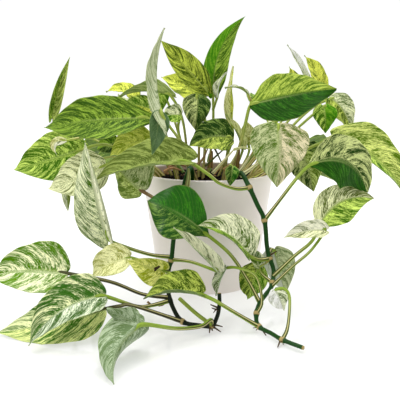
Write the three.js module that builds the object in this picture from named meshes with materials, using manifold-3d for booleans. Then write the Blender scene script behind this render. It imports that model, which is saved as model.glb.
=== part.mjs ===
// Potted pothos with two stems that trail over the rim and lie on the surface.
// Millimetres, +Z up, +X to the right seen from the front, +Y to the back.
// The origin is the middle of the pot's flat underside, on the surface.
import * as THREE from "three";
import { mergeVertices } from "three/addons/utils/BufferGeometryUtils.js";
import Module from "manifold-3d";

const wasm = await Module();
wasm.setup();

// Pot
const POT_HEIGHT = 124;
const RIM_RADIUS = 72.5;
const FOOT_RADIUS = 56;
const RIM_WALL = 2.6;
const WALL = 3;
const FLOOR_THICKNESS = 4;
const RIM_ROUNDING = 0.8;
const POT_SIDES = 48;

// Soil
const SOIL_BELOW_RIM = 8;
const SOIL_TOP = POT_HEIGHT - SOIL_BELOW_RIM;
const SOIL_SIDES = 32;
const ROOTED_DEPTH = 6;

// Clear gap that two neighbouring pieces keep
const GAP = 0.35;

// Leaves
const BLADE = 1;
const STALK_RADIUS = 1.7;
const STALK_SIDES = 4;
const STALK_STEPS_PER_SPAN = 2;
const BELLY = 0.27;
const LOBE = 0.1;
const WAVE = 1.2;
const BLADE_ROWS = [0, 0.12, 0.3, 0.52, 0.75];
const BLADE_COLUMNS = [-1, -0.5, 0, 0.5, 1];
const MIDRIB_HOLD = 0.14;

// Trailing stems
const STEM_RADIUS = 2.9;
const STEM_SIDES = 6;
const STEM_STEPS_PER_SPAN = 2;
const NODE_RADIUS = 3.8;
const ROOTLET_RADIUS = 1;

const GREEN = "#4F8A1E";
const DARK_GREEN = "#1F4A2A";
const CREAM_GREEN = "#B9C98A";

// The two long stems: middle line from the soil to the cut or rooted end, then the joints where
// leaves grow, then the short aerial roots as pairs of points.
const STEMS = {
  stem_left: {
    line: [[-18, -42, 109], [-16, -54, 128], [-18, -68, 136], [-22, -80, 126], [-29, -89, 99],
      [-33, -95, 74], [-35, -98, 55], [-38, -101, 42], [-38, -110, 27], [-33, -120, 14],
      [-24, -130, 5], [-9, -136, 4.2], [2, -138, 5], [7, -137, 13], [9, -134, 23], [9, -131, 33]],
    joints: [[-35, -98, 52], [-38, -117, 19], [-24, -130, 5], [2, -138, 5]],
    rootlets: [[[8, -134, 20], [1, -136, 24]], [[2, -138, 5], [10, -144, 2]],
      [[4, -138, 6], [12, -134, 2]], [[1, -138, 5], [0, -146, 2]]],
  },
  stem_right: {
    line: [[24, -38, 109], [28, -52, 124], [32, -68, 131], [38, -80, 121], [46, -86, 104],
      [53, -89, 89], [55, -95, 67], [57, -97, 56], [61, -103, 44], [58, -114, 33], [52, -120, 27],
      [45, -127, 20], [42, -134, 11], [44, -140, 5], [53, -151, 4.2], [61, -163, 4.2],
      [76, -177, 4.2]],
    joints: [[39, -81, 119], [53, -89, 89], [58, -98, 54], [59, -112, 35], [43, -132, 14],
      [44, -140, 5], [61, -163, 4.2]],
    rootlets: [[[45, -140, 5], [49, -149, 1.2]], [[60, -161, 4], [56, -170, 1.2]],
      [[57, -97, 56], [64, -100, 62]]],
  },
};

// Each leaf: where its stalk starts, what it passes, where the blade starts, the blade's tip, the
// side its upper face looks to, its width, the rise of its midrib to the face (bow) and to the
// right (bend), and the angles in degrees by which its left and right halves fold to the face.
const LEAVES = [
  { "name": "trail_left_1", "root": [-35, -97, 55], "via": [[-56, -92, 56], [-81, -86, 62]],
    "base": [-97, -82, 68], "tip": [-119, -66, 161], "face": [0.1, -0.98, 0.1],
    "width": 50, "bow": 6, "bend": 0, "fold": [8, 78] },
  { "name": "trail_left_2", "root": [-35, -98, 53], "via": [[-16, -114, 56]],
    "base": [7, -120, 50], "tip": [-32, -118, 90], "face": [0.5, -0.7, 0.5],
    "width": 28, "bow": 4, "bend": -2, "fold": [60, 72] },
  { "name": "trail_left_3", "root": [-38, -117, 19], "via": [[-53, -122, 17], [-66, -128, 19]],
    "base": [-91, -140, 34], "tip": [-147, -178, 6], "face": [-0.1, -0.72, 0.68],
    "width": 46, "bow": 6, "bend": 9, "fold": [25, 20], "lobe": 0.03 },
  { "name": "trail_left_4", "root": [-38, -115, 22], "via": [[-62, -112, 24], [-91, -112, 36]],
    "base": [-131, -115, 46], "tip": [-204, -115, 41], "face": [-0.1, -0.75, 0.65],
    "width": 54, "bow": 6, "bend": 3, "fold": [20, 15], "lobe": 0.05 },
  { "name": "trail_left_5", "root": [-24, -130, 5], "via": [[-67, -134, 22], [-79, -137, 23]],
    "base": [-92, -140, 22], "tip": [-186, -146, 2], "face": [0, -0.6, 0.8],
    "width": 49, "bow": 4, "bend": -4, "fold": [3, 10], "lobe": 0.02 },
  { "name": "trail_left_6", "root": [2, -138, 5], "via": [[1, -144, 13], [-8, -150, 10], [-28, -162, 14]],
    "base": [-53, -182, 27], "tip": [-70, -226, 1.5], "face": [0.2, 0.9, 0.3],
    "width": 50, "bow": 4, "bend": -8, "fold": [35, 80], "belly": 0.15 },
  { "name": "trail_left_7", "root": [-36, -99, 49], "via": [[-56, -103, 52]],
    "base": [-75, -104, 57], "tip": [-111, -98, 36], "face": [-0.3, -0.85, 0.5],
    "width": 33, "bow": 5, "bend": 2, "fold": [25, 25] },
  { "name": "trail_left_8", "root": [-38, -101, 43], "via": [],
    "base": [-42, -106, 45], "tip": [-75, -110, 56], "face": [-0.2, -0.9, 0.4],
    "width": 34, "bow": 3, "bend": 0, "fold": [10, 60] },
  { "name": "trail_right_1", "root": [46, -125, 21], "via": [[35, -116, 40], [19, -108, 62]],
    "base": [-4, -100, 80], "tip": [-57, -92, 109], "face": [-0.1, -0.9, 0.4],
    "width": 52, "bow": 8, "bend": 3, "fold": [5, 5], "belly": 0.5 },
  { "name": "trail_right_2", "root": [58, -98, 54], "via": [[46, -104, 55]],
    "base": [36, -108, 62], "tip": [-11, -106, 88], "face": [0, -0.8, 0.6],
    "width": 46, "bow": 6, "bend": 6, "fold": [60, 5] },
  { "name": "trail_right_3", "root": [44, -140, 5], "via": [[26, -140, 16], [15, -140, 23], [4, -140, 30]],
    "base": [-8, -138, 35], "tip": [-58, -136, 29], "face": [0, -0.7, 0.7],
    "width": 40, "bow": 5, "bend": 3, "fold": [70, 10] },
  { "name": "trail_right_4", "root": [43, -132, 14],
    "via": [[47, -132, 26], [42, -124, 46], [26, -119, 52]],
    "base": [16, -110, 49], "tip": [7, -114, 23], "face": [-0.7, -0.7, 0.1],
    "width": 18, "bow": 2, "bend": 0, "fold": [60, 60] },
  { "name": "trail_right_5", "root": [60, -108, 40], "via": [[80, -101, 57], [97, -96, 70]],
    "base": [104, -95, 85], "tip": [155, -90, 110], "face": [0.1, -0.8, 0.6],
    "width": 38, "bow": 6, "bend": -9, "fold": [5, 5], "belly": 0.4, "lobe": 0.02 },
  { "name": "trail_right_6", "root": [53, -89, 89], "via": [[67, -90, 109], [83, -90, 131]],
    "base": [94, -90, 142], "tip": [149, -88, 115], "face": [0.1, -0.8, 0.6],
    "width": 60, "bow": 6, "bend": -15, "fold": [5, 5], "belly": 0.5, "lobe": 0.03 },
  { "name": "trail_right_7", "root": [39, -81, 119], "via": [[26, -86, 119], [10, -90, 125], [0, -90, 133]],
    "base": [-19, -86, 145], "tip": [-113, -72, 123], "face": [0, -0.75, 0.66],
    "width": 52, "bow": 4, "bend": 5, "fold": [52, 10] },
  { "name": "trail_right_8", "root": [61, -163, 4.2], "via": [[66, -158, 14], [70, -140, 32], [66, -134, 38]],
    "base": [58, -132, 36], "tip": [66, -134, 18], "face": [0.1, -0.95, 0.2],
    "width": 20, "bow": 2, "bend": 0, "fold": [20, 20] },
  { "name": "trail_right_9", "root": [57, -97, 57], "via": [[60, -90, 60]],
    "base": [64, -85, 58], "tip": [76, -86, 12], "face": [0.2, 0.7, 0.2],
    "width": 34, "bow": 3, "bend": 0, "fold": [10, 10] },
  { "name": "trail_right_10", "root": [59, -112, 35], "via": [[50, -102, 40]],
    "base": [47, -96, 46], "tip": [38, -90, 10], "face": [-0.2, -0.9, 0.3],
    "width": 30, "bow": 3, "bend": 0, "fold": [20, 20] },
  { "name": "trail_right_11", "root": [57, -115, 32], "via": [[77, -112, 51], [94, -108, 65]],
    "base": [107, -106, 84], "tip": [68, -108, 77], "face": [0, -0.8, 0.6],
    "width": 20, "bow": 3, "bend": 2, "fold": [20, 30] },
  { "name": "crown_left_1", "root": [-44, 14, 110], "via": [[-66, 12, 130], [-132, 8, 160]],
    "base": [-173, 15, 181], "tip": [-151, 20, 247], "face": [0.35, -0.9, 0.1],
    "width": 24, "bow": 4, "bend": -2, "fold": [60, 60] },
  { "name": "crown_left_2", "root": [-30, -25, 110], "via": [[-44, -32, 160]],
    "base": [-61, -28, 182], "tip": [-166, -42, 173], "face": [0, -0.8, 0.6],
    "width": 58, "bow": 6, "bend": 0, "fold": [15, 5], "belly": 0.45 },
  { "name": "crown_left_3", "root": [-38, 12, 110], "via": [[-66, 14, 180]],
    "base": [-79, 12, 202], "tip": [-112, 14, 209], "face": [0, -0.6, 0.8],
    "width": 28, "bow": 4, "bend": 4, "fold": [30, 10] },
  { "name": "crown_left_4", "root": [-20, 5, 110], "via": [[-26, -10, 176]],
    "base": [-38, -14, 205], "tip": [-95, -12, 203], "face": [0, 0.5, 0.85],
    "width": 26, "bow": 7, "bend": 0, "fold": [30, 30] },
  { "name": "crown_left_5", "root": [-8, -40, 110], "via": [[-25, -56, 156]],
    "base": [-42, -84, 184], "tip": [-40, -78, 265], "face": [-0.9, -0.35, 0.1],
    "width": 26, "bow": 4, "bend": -12, "fold": [20, 70], "lobe": 0.22 },
  { "name": "crown_left_6", "root": [-10, 0, 110], "via": [[-8, -5, 180]],
    "base": [-1, -8, 210], "tip": [-49, -12, 261], "face": [-0.3, -0.8, 0.5],
    "width": 30, "bow": 4, "bend": 0, "fold": [20, 10], "belly": 0.35 },
  { "name": "crown_left_7", "root": [-5, 20, 110], "via": [[-2, 16, 172]],
    "base": [-9, 12, 204], "tip": [-51, 14, 225], "face": [0, -0.8, 0.6],
    "width": 34, "bow": 4, "bend": 0, "fold": [15, 15] },
  { "name": "crown_left_8", "root": [-18, 18, 110], "via": [[-38, 26, 180], [-51, 29, 210]],
    "base": [-55, 22, 215], "tip": [-52, 18, 186], "face": [0, -0.8, 0.6],
    "width": 26, "bow": 3, "bend": 0, "fold": [15, 15] },
  { "name": "crown_left_9", "root": [-12, -20, 110], "via": [[-30, -24, 165]],
    "base": [-28, -28, 186], "tip": [-47, -28, 184], "face": [0, -0.8, 0.6],
    "width": 22, "bow": 2, "bend": 0, "fold": [0, 45] },
  { "name": "crown_left_10", "root": [-5, -10, 110], "via": [[-3, -14, 176]],
    "base": [-11, -20, 204], "tip": [-13, -26, 169], "face": [0, -0.9, 0.4],
    "width": 30, "bow": 4, "bend": 0, "fold": [10, 10] },
  { "name": "crown_left_11", "root": [15, -30, 110], "via": [[20, -35, 146]],
    "base": [23, -38, 163], "tip": [-20, -44, 154], "face": [0, -0.8, 0.6],
    "width": 40, "bow": 6, "bend": 3, "fold": [10, 10] },
  { "name": "crown_left_12", "root": [-50, 0, 110], "via": [[-102, -15, 152]],
    "base": [-137, -18, 148], "tip": [-206, -25, 128], "face": [0, -0.95, 0.3],
    "width": 54, "bow": 4, "bend": -1, "fold": [5, 15] },
  { "name": "crown_left_13", "root": [-48, 10, 110], "via": [[-104, 2, 150]],
    "base": [-135, 2, 148], "tip": [-170, 0, 147], "face": [0, -0.7, 0.7],
    "width": 26, "bow": 3, "bend": 0, "fold": [20, 20] },
  { "name": "crown_left_14", "root": [-45, -25, 110], "via": [[-57, -34, 129], [-82, -50, 142]],
    "base": [-103, -57, 137], "tip": [-161, -56, 113], "face": [-0.1, -0.85, 0.5],
    "width": 46, "bow": 4, "bend": -3, "fold": [5, 20], "lobe": 0.06 },
  { "name": "crown_left_15", "root": [-29, -90, 98], "via": [[-46, -84, 106]],
    "base": [-65, -74, 115], "tip": [-94, -62, 141], "face": [0, -0.95, 0.3],
    "width": 52, "bow": 3, "bend": 0, "fold": [-45, 0] },
  { "name": "crown_left_16", "root": [-30, -10, 110], "via": [[-46, -14, 150]],
    "base": [-62, -16, 159], "tip": [-104, -22, 142], "face": [0, -0.8, 0.6],
    "width": 38, "bow": 3, "bend": 3, "fold": [10, 10] },
  { "name": "crown_left_17", "root": [-42, 5, 110], "via": [[-84, 2, 150]],
    "base": [-98, -4, 156], "tip": [-121, -8, 147], "face": [0, -0.9, 0.4],
    "width": 24, "bow": 2, "bend": 0, "fold": [10, 10] },
  { "name": "crown_left_18", "root": [-32, 20, 110], "via": [[-48, 12, 168]],
    "base": [-57, -8, 190], "tip": [-91, -10, 197], "face": [0, -0.8, 0.6],
    "width": 28, "bow": 3, "bend": 0, "fold": [10, 10] },
  { "name": "crown_left_19", "root": [-48, 3, 110], "via": [[-68, 1, 131], [-112, 0, 138]],
    "base": [-157, -2, 116], "tip": [-156, -4, 76], "face": [0, -0.95, 0.3],
    "width": 12, "bow": 2, "bend": 0, "fold": [20, 20] },
  { "name": "crown_mid_1", "root": [0, 10, 110], "via": [[6, 5, 170]],
    "base": [6, 0, 209], "tip": [40, 5, 287], "face": [0.3, -0.9, 0.3],
    "width": 27, "bow": 4, "bend": -11, "fold": [10, 15] },
  { "name": "crown_mid_2", "root": [10, 5, 110], "via": [[27, 0, 155]],
    "base": [26, -4, 175], "tip": [27, -4, 236], "face": [-0.6, -0.8, 0.2],
    "width": 14, "bow": 3, "bend": 0, "fold": [40, 40] },
  { "name": "crown_mid_3", "root": [24, -10, 110], "via": [[36, -11, 141]],
    "base": [38, -12, 150], "tip": [19, -14, 186], "face": [0.6, -0.7, 0.3],
    "width": 14, "bow": 2, "bend": 0, "fold": [50, 50] },
  { "name": "crown_mid_4", "root": [30, 10, 110], "via": [[46, 12, 140]],
    "base": [46, 12, 153], "tip": [43, 12, 178], "face": [0, -0.9, 0.4],
    "width": 22, "bow": 2, "bend": 0, "fold": [10, 10] },
  { "name": "crown_right_1", "root": [20, -30, 110], "via": [[34, -32, 158], [38, -38, 178]],
    "base": [42, -44, 196], "tip": [123, -60, 211], "face": [0, -0.8, 0.6],
    "width": 54, "bow": 4, "bend": 1, "fold": [5, 0], "belly": 0.4, "lobe": 0.02 },
  { "name": "crown_right_2", "root": [36, -42, 110], "via": [[52, -54, 146], [59, -63, 168]],
    "base": [66, -69, 178], "tip": [65, -80, 119], "face": [-0.05, -0.95, 0.3],
    "width": 59, "bow": 3, "bend": 0, "fold": [5, 25], "lobe": 0.04 },
  { "name": "crown_right_3", "root": [35, 20, 110], "via": [[95, 25, 180]],
    "base": [126, 28, 209], "tip": [108, 30, 249], "face": [0.2, -0.85, 0.5],
    "width": 24, "bow": 4, "bend": 3, "fold": [20, 20] },
  { "name": "crown_right_4", "root": [35, 26, 110], "via": [[88, 36, 178]],
    "base": [115, 40, 220], "tip": [91, 44, 262], "face": [0.3, -0.9, 0.3],
    "width": 12, "bow": 3, "bend": 0, "fold": [40, 40] },
  { "name": "crown_right_5", "root": [41, 3, 110], "via": [[102, 2, 182]],
    "base": [133, 3, 202], "tip": [155, -4, 165], "face": [0.1, -0.9, 0.4],
    "width": 31, "bow": 4, "bend": -3, "fold": [10, 15] },
  { "name": "crown_right_6", "root": [40, -4, 110], "via": [[92, -16, 168]],
    "base": [122, -14, 194], "tip": [124, -18, 166], "face": [0, -0.9, 0.4],
    "width": 26, "bow": 3, "bend": 0, "fold": [10, 10] },
  { "name": "crown_right_7", "root": [44, -17, 110], "via": [[96, -26, 146]],
    "base": [131, -34, 162], "tip": [202, -60, 100], "face": [0.1, -0.85, 0.5],
    "width": 60, "bow": 8, "bend": -6, "fold": [10, 50] },
  { "name": "crown_right_8", "root": [40, -30, 110],
    "via": [[54, -38, 130], [84, -50, 138], [86, -52, 146]],
    "base": [94, -52, 147], "tip": [105, -58, 111], "face": [0, -0.9, 0.4],
    "width": 34, "bow": 3, "bend": 0, "fold": [10, 10] },
  { "name": "crown_right_9", "root": [42, -10, 110], "via": [[84, -12, 146]],
    "base": [121, -14, 149], "tip": [99, -18, 137], "face": [0, -0.9, 0.4],
    "width": 24, "bow": 2, "bend": 0, "fold": [10, 10] },
  { "name": "crown_right_10", "root": [14, -56, 110], "via": [[20, -66, 136]],
    "base": [23, -76, 138], "tip": [20, -81, 120], "face": [0, -0.95, 0.3],
    "width": 14, "bow": 2, "bend": 0, "fold": [20, 20] },
  { "name": "crown_right_11", "root": [30, 3, 110], "via": [[72, 10, 176]],
    "base": [98, 12, 209], "tip": [89, 14, 236], "face": [0.2, -0.85, 0.5],
    "width": 16, "bow": 2, "bend": 0, "fold": [20, 20] },
];

// The sprays behind the crown: a stem and the leaves that grow from it, all one piece each.
const SPRAYS = {
  spray_back_left: {
    line: [[-22, 28, 109], [-50, 42, 142], [-78, 60, 152]],
    leaves: [
      { "root": [-50, 42, 142], "base": [-88, 48, 165], "tip": [-160, 62, 178],
        "face": [0, -0.2, 0.98], "width": 54 },
      { "root": [-50, 42, 142], "base": [-84, 60, 138], "tip": [-150, 90, 100],
        "face": [-0.3, 0.5, 0.8], "width": 54 },
      { "root": [-78, 60, 152], "base": [-80, 75, 182], "tip": [-118, 135, 200],
        "face": [-0.2, 0.6, 0.8], "width": 48 },
      { "root": [-78, 60, 152], "base": [-112, 80, 150], "tip": [-165, 120, 112],
        "face": [-0.4, 0.6, 0.7], "width": 54 },
      { "root": [-78, 60, 152], "base": [-66, 90, 140], "tip": [-88, 140, 92],
        "face": [0.1, 0.85, 0.5], "width": 52 },
    ],
  },
  spray_back_middle: {
    line: [[2, 40, 109], [5, 58, 130], [4, 76, 132], [2, 84, 118], [1, 88, 90], [0, 90, 55]],
    leaves: [
      { "root": [2, 84, 118], "base": [-14, 96, 112], "tip": [-50, 118, 74],
        "face": [-0.2, 0.8, 0.5], "width": 46 },
      { "root": [1, 88, 90], "base": [-16, 100, 76], "tip": [-40, 116, 12],
        "face": [-0.2, 0.95, 0.2], "width": 50 },
      { "root": [1, 88, 90], "base": [22, 98, 92], "tip": [60, 116, 50],
        "face": [0.2, 0.85, 0.4], "width": 50 },
      { "root": [0, 90, 55], "base": [16, 100, 46], "tip": [34, 116, 4],
        "face": [0.2, 0.95, 0.2], "width": 40 },
      { "root": [0, 90, 55], "base": [-4, 108, 30], "tip": [-20, 164, 5],
        "face": [0, 0.3, 0.95], "width": 46 },
    ],
  },
  spray_back_right: {
    line: [[36, 42, 109], [60, 50, 138], [86, 60, 150]],
    leaves: [
      { "root": [60, 50, 138], "base": [84, 66, 174], "tip": [142, 94, 196],
        "face": [0.2, 0.2, 0.95], "width": 50 },
      { "root": [86, 60, 150], "base": [92, 76, 154], "tip": [94, 114, 106],
        "face": [0, 0.85, 0.4], "width": 50 },
      { "root": [86, 60, 150], "base": [122, 64, 120], "tip": [176, 90, 90],
        "face": [0.3, 0.5, 0.8], "width": 52 },
      { "root": [86, 60, 150], "base": [74, 84, 182], "tip": [64, 132, 204],
        "face": [0, 0.6, 0.8], "width": 46 },
      { "root": [86, 60, 150], "base": [120, 88, 144], "tip": [164, 134, 122],
        "face": [0.2, 0.7, 0.6], "width": 50 },
    ],
  },
};
const SPRAY_LEAF = { via: [], bow: 8, bend: 0, fold: [12, 12] };

const vector = (p) => new THREE.Vector3(...p);
const radians = THREE.MathUtils.degToRad;

function solidOf(geometry) {
  const bare = geometry.clone();
  bare.deleteAttribute("normal");
  bare.deleteAttribute("uv");
  const merged = mergeVertices(bare, 1e-4);
  const vertProperties = new Float32Array(merged.attributes.position.array);
  const triVerts = new Uint32Array(merged.index.array);
  return new wasm.Manifold(new wasm.Mesh({ numProp: 3, vertProperties, triVerts }));
}

function geometryOf(solid) {
  const mesh = solid.getMesh();
  const geometry = new THREE.BufferGeometry();
  geometry.setAttribute("position", new THREE.BufferAttribute(new Float32Array(mesh.vertProperties), 3));
  geometry.setIndex(new THREE.BufferAttribute(new Uint32Array(mesh.triVerts), 1));
  geometry.computeVertexNormals();
  return geometry;
}

function join(solids) {
  return solids.reduce((whole, next) => whole.add(next));
}

// A round rod with few sides along a smooth line through the points.
function rod(points, radius, sides, stepsPerSpan) {
  const corners = [];
  for (let i = 0; i < sides; i += 1) {
    const turn = (2 * Math.PI * i) / sides;
    corners.push(new THREE.Vector2(radius * Math.cos(turn), radius * Math.sin(turn)));
  }
  const path = new THREE.CatmullRomCurve3(points, false, "catmullrom", 0.5);
  const steps = stepsPerSpan * (points.length - 1);
  const settings = { steps, bevelEnabled: false, extrudePath: path };
  return solidOf(new THREE.ExtrudeGeometry(new THREE.Shape(corners), settings));
}

// Half the width of a blade, as a share of its greatest, from base (0) to tip (1). It is greatest
// at the belly.
function outline(belly, s) {
  const taper = 1.15;
  const growth = (taper * (belly + 0.05)) / (1 - belly);
  return ((s + 0.05) / (belly + 0.05)) ** growth * ((1 - s) / (1 - belly)) ** taper;
}

// The midrib at s, with its direction, the way the upper face looks and the way to its right.
function midrib(leaf, s) {
  const base = vector(leaf.base);
  const chord = vector(leaf.tip).sub(base);
  const along = chord.clone().normalize();
  const face = vector(leaf.face);
  face.addScaledVector(along, -face.dot(along)).normalize();
  const right = along.clone().cross(face);
  const rise = 4 * s * (1 - s);
  const slope = 4 - 8 * s;
  const place = base.clone().addScaledVector(chord, s);
  place.addScaledVector(face, leaf.bow * rise).addScaledVector(right, leaf.bend * rise);
  const direction = chord.clone().addScaledVector(face, leaf.bow * slope);
  direction.addScaledVector(right, leaf.bend * slope).normalize();
  const normal = face.clone().addScaledVector(direction, -face.dot(direction)).normalize();
  const side = direction.clone().cross(normal);
  return { place, direction, normal, side, length: chord.length() };
}

// A point of the blade's middle surface and the surface's own normal there; v runs from the left
// edge (-1) to the right edge (1).
function bladePoint(leaf, s, v) {
  const { place, direction, normal, side, length } = midrib(leaf, s);
  const out = Math.abs(v);
  const hand = v < 0 ? -1 : 1;
  const fold = radians(leaf.fold[v < 0 ? 0 : 1]) * (0.65 + 0.35 * out);
  const reach = (leaf.width / 2) * outline(leaf.belly ?? BELLY, s) * out;
  const lobe = (leaf.lobe ?? LOBE) * length * Math.sin(Math.PI * out ** 0.8) * (1 - s) ** 3;
  const wave = WAVE * out * out * Math.sin(2 * Math.PI * (1.5 * s + 0.25 * hand));
  place.addScaledVector(side, hand * Math.cos(fold) * reach);
  place.addScaledVector(normal, Math.sin(fold) * reach + wave);
  place.addScaledVector(direction, -lobe);
  const up = normal.clone();
  if (v !== 0) {
    up.multiplyScalar(Math.cos(fold)).addScaledVector(side, -hand * Math.sin(fold));
  }
  return { place, up };
}

// The blade as a thin closed shell: two alike faces and the edge between them.
function blade(leaf) {
  const places = [];
  const faces = [];
  const columns = BLADE_COLUMNS.length;
  for (const face of [1, -1]) {
    for (const s of BLADE_ROWS) {
      for (const v of BLADE_COLUMNS) {
        const { place, up } = bladePoint(leaf, s, v);
        places.push(...place.addScaledVector(up, (face * BLADE) / 2).toArray());
      }
    }
    const { place, normal } = midrib(leaf, 1);
    places.push(...place.addScaledVector(normal, (face * BLADE) / 2).toArray());
  }
  const tip = BLADE_ROWS.length * columns;
  const under = tip + 1;
  const bothFaces = (a, b, c) => faces.push(a, b, c, under + a, under + c, under + b);
  for (let row = 0; row + 1 < BLADE_ROWS.length; row += 1) {
    for (let column = 0; column + 1 < columns; column += 1) {
      const a = row * columns + column;
      const far = a + columns;
      if (column < (columns - 1) / 2) {
        bothFaces(a, a + 1, far + 1);
        bothFaces(a, far + 1, far);
      } else {
        bothFaces(a, a + 1, far);
        bothFaces(a + 1, far + 1, far);
      }
    }
  }
  const last = tip - columns;
  for (let column = 0; column + 1 < columns; column += 1) {
    bothFaces(last + column, last + column + 1, tip);
  }
  const rim = [];
  for (let column = 0; column < columns; column += 1) {
    rim.push(column);
  }
  for (let row = 1; row < BLADE_ROWS.length; row += 1) {
    rim.push(row * columns + columns - 1);
  }
  rim.push(tip);
  for (let row = BLADE_ROWS.length - 1; row > 0; row -= 1) {
    rim.push(row * columns);
  }
  rim.forEach((a, i) => {
    const b = rim[(i + 1) % rim.length];
    faces.push(b, a, under + a, b, under + a, under + b);
  });
  const geometry = new THREE.BufferGeometry();
  geometry.setAttribute("position", new THREE.BufferAttribute(new Float32Array(places), 3));
  geometry.setIndex(faces);
  return solidOf(geometry);
}

// The stalk's middle line: from its root to the blade's base, then along under the midrib.
function stalkLine(leaf) {
  const start = midrib(leaf, 0);
  const hold = midrib(leaf, MIDRIB_HOLD);
  const sunk = 0.5 * STALK_RADIUS;
  const end = start.place.addScaledVector(start.normal, -sunk);
  const under = hold.place.addScaledVector(hold.normal, -sunk);
  return [vector(leaf.root), ...leaf.via.map(vector), end, under];
}

function leafSolid(leaf) {
  const stalk = rod(stalkLine(leaf), STALK_RADIUS, STALK_SIDES, STALK_STEPS_PER_SPAN);
  return blade(leaf).add(stalk);
}

function stemSolid(stem, extra) {
  const pieces = [rod(stem.line.map(vector), STEM_RADIUS + extra, STEM_SIDES, STEM_STEPS_PER_SPAN)];
  for (const joint of stem.joints) {
    const swelling = new THREE.SphereGeometry(NODE_RADIUS + extra, STEM_SIDES, 4);
    swelling.scale(1, 1, 0.8);
    swelling.translate(...joint);
    pieces.push(solidOf(swelling));
  }
  for (const [from, to] of stem.rootlets) {
    pieces.push(rod([vector(from), vector(to)], ROOTLET_RADIUS + extra, 4, 1));
  }
  return join(pieces);
}

function spraySolid(spray) {
  const pieces = [rod(spray.line.map(vector), STEM_RADIUS, STEM_SIDES, STEM_STEPS_PER_SPAN)];
  for (const leaf of spray.leaves) {
    pieces.push(leafSolid({ ...SPRAY_LEAF, ...leaf }));
  }
  return join(pieces);
}

// Outer radius of the pot at a height, and the inner one.
function outerRadius(z) {
  return FOOT_RADIUS + ((RIM_RADIUS - FOOT_RADIUS) * z) / POT_HEIGHT;
}

function potGeometry() {
  const foot = 1.5;
  const profile = [
    [0, 0], [FOOT_RADIUS - foot, 0], [outerRadius(foot), foot],
    [RIM_RADIUS, POT_HEIGHT - RIM_ROUNDING], [RIM_RADIUS - RIM_ROUNDING, POT_HEIGHT],
    [RIM_RADIUS - RIM_WALL + RIM_ROUNDING, POT_HEIGHT],
    [RIM_RADIUS - RIM_WALL, POT_HEIGHT - RIM_ROUNDING],
    [outerRadius(FLOOR_THICKNESS) - WALL, FLOOR_THICKNESS], [0, FLOOR_THICKNESS],
  ].map(([r, z]) => new THREE.Vector2(r, z));
  const geometry = new THREE.LatheGeometry(profile, POT_SIDES);
  geometry.rotateX(Math.PI / 2);
  return geometry;
}

// The soil, with a plain hole for every stalk and stem that stands in it.
function soilSolid(lines) {
  const low = FLOOR_THICKNESS + GAP;
  const inset = WALL + 2 * GAP;
  const profile = [
    [0, low], [outerRadius(low) - inset, low], [outerRadius(SOIL_TOP) - inset, SOIL_TOP - 2],
    [outerRadius(SOIL_TOP) - inset - 8, SOIL_TOP], [0, SOIL_TOP + 1],
  ].map(([r, z]) => new THREE.Vector2(r, z));
  const geometry = new THREE.LatheGeometry(profile, SOIL_SIDES);
  geometry.rotateX(Math.PI / 2);
  let soil = solidOf(geometry);
  for (const { points, radius, sides } of lines) {
    const [first, second] = points;
    const back = first.clone().sub(second).setLength(GAP);
    const hole = [first.clone().add(back), ...points.slice(1)];
    soil = soil.subtract(rod(hole, radius + GAP, sides, STALK_STEPS_PER_SPAN));
  }
  return soil;
}

function paint(colour, roughness) {
  return new THREE.MeshStandardMaterial({ color: colour, roughness, metalness: 0 });
}

function addMesh(group, name, geometry, material) {
  const mesh = new THREE.Mesh(geometry, material);
  mesh.name = name;
  group.add(mesh);
}

const plant = new THREE.Group();
addMesh(plant, "pot", potGeometry(), paint("#EFECE6", 0.45));

const rooted = [];
for (const stem of Object.values(STEMS)) {
  rooted.push({ points: stem.line.map(vector), radius: STEM_RADIUS, sides: STEM_SIDES });
}
for (const spray of Object.values(SPRAYS)) {
  rooted.push({ points: spray.line.map(vector), radius: STEM_RADIUS, sides: STEM_SIDES });
}
for (const leaf of LEAVES.filter((one) => one.root[2] === SOIL_TOP - ROOTED_DEPTH)) {
  rooted.push({ points: stalkLine(leaf), radius: STALK_RADIUS, sides: STALK_SIDES });
}
addMesh(plant, "soil", geometryOf(soilSolid(rooted)), paint("#2A1D16", 0.95));

const wideStems = join(Object.values(STEMS).map((stem) => stemSolid(stem, GAP)));
for (const [name, stem] of Object.entries(STEMS)) {
  addMesh(plant, name, geometryOf(stemSolid(stem, 0)), paint(DARK_GREEN, 0.5));
}
for (const leaf of LEAVES) {
  const grown = leafSolid(leaf).subtract(wideStems);
  const largest = grown.decompose().reduce((a, b) => (a.volume() > b.volume() ? a : b));
  const colour = leaf.name.startsWith("trail") ? CREAM_GREEN : GREEN;
  addMesh(plant, leaf.name, geometryOf(largest), paint(colour, 0.4));
}
for (const [name, spray] of Object.entries(SPRAYS)) {
  addMesh(plant, name, geometryOf(spraySolid(spray)), paint(GREEN, 0.4));
}

export default plant;
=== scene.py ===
# %% [markdown]
# A potted pothos. The pot, its soil, two long trailing stems, fifty-three leaves and three leafy sprays
# stand in the frame as plain solids. Every leaf gets a finer blade with veins and marbling here, every
# stalk a round section, and the soil its crumbs and bark. Lengths in the tables are millimetres, as in
# the frame's own drawing. Blender works in metres, so each piece is divided by a thousand when it is
# made. Each cell prints what it made, so the lesson can be followed step by step.

# %% Frame and size
import itertools
import math
import random

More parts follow.
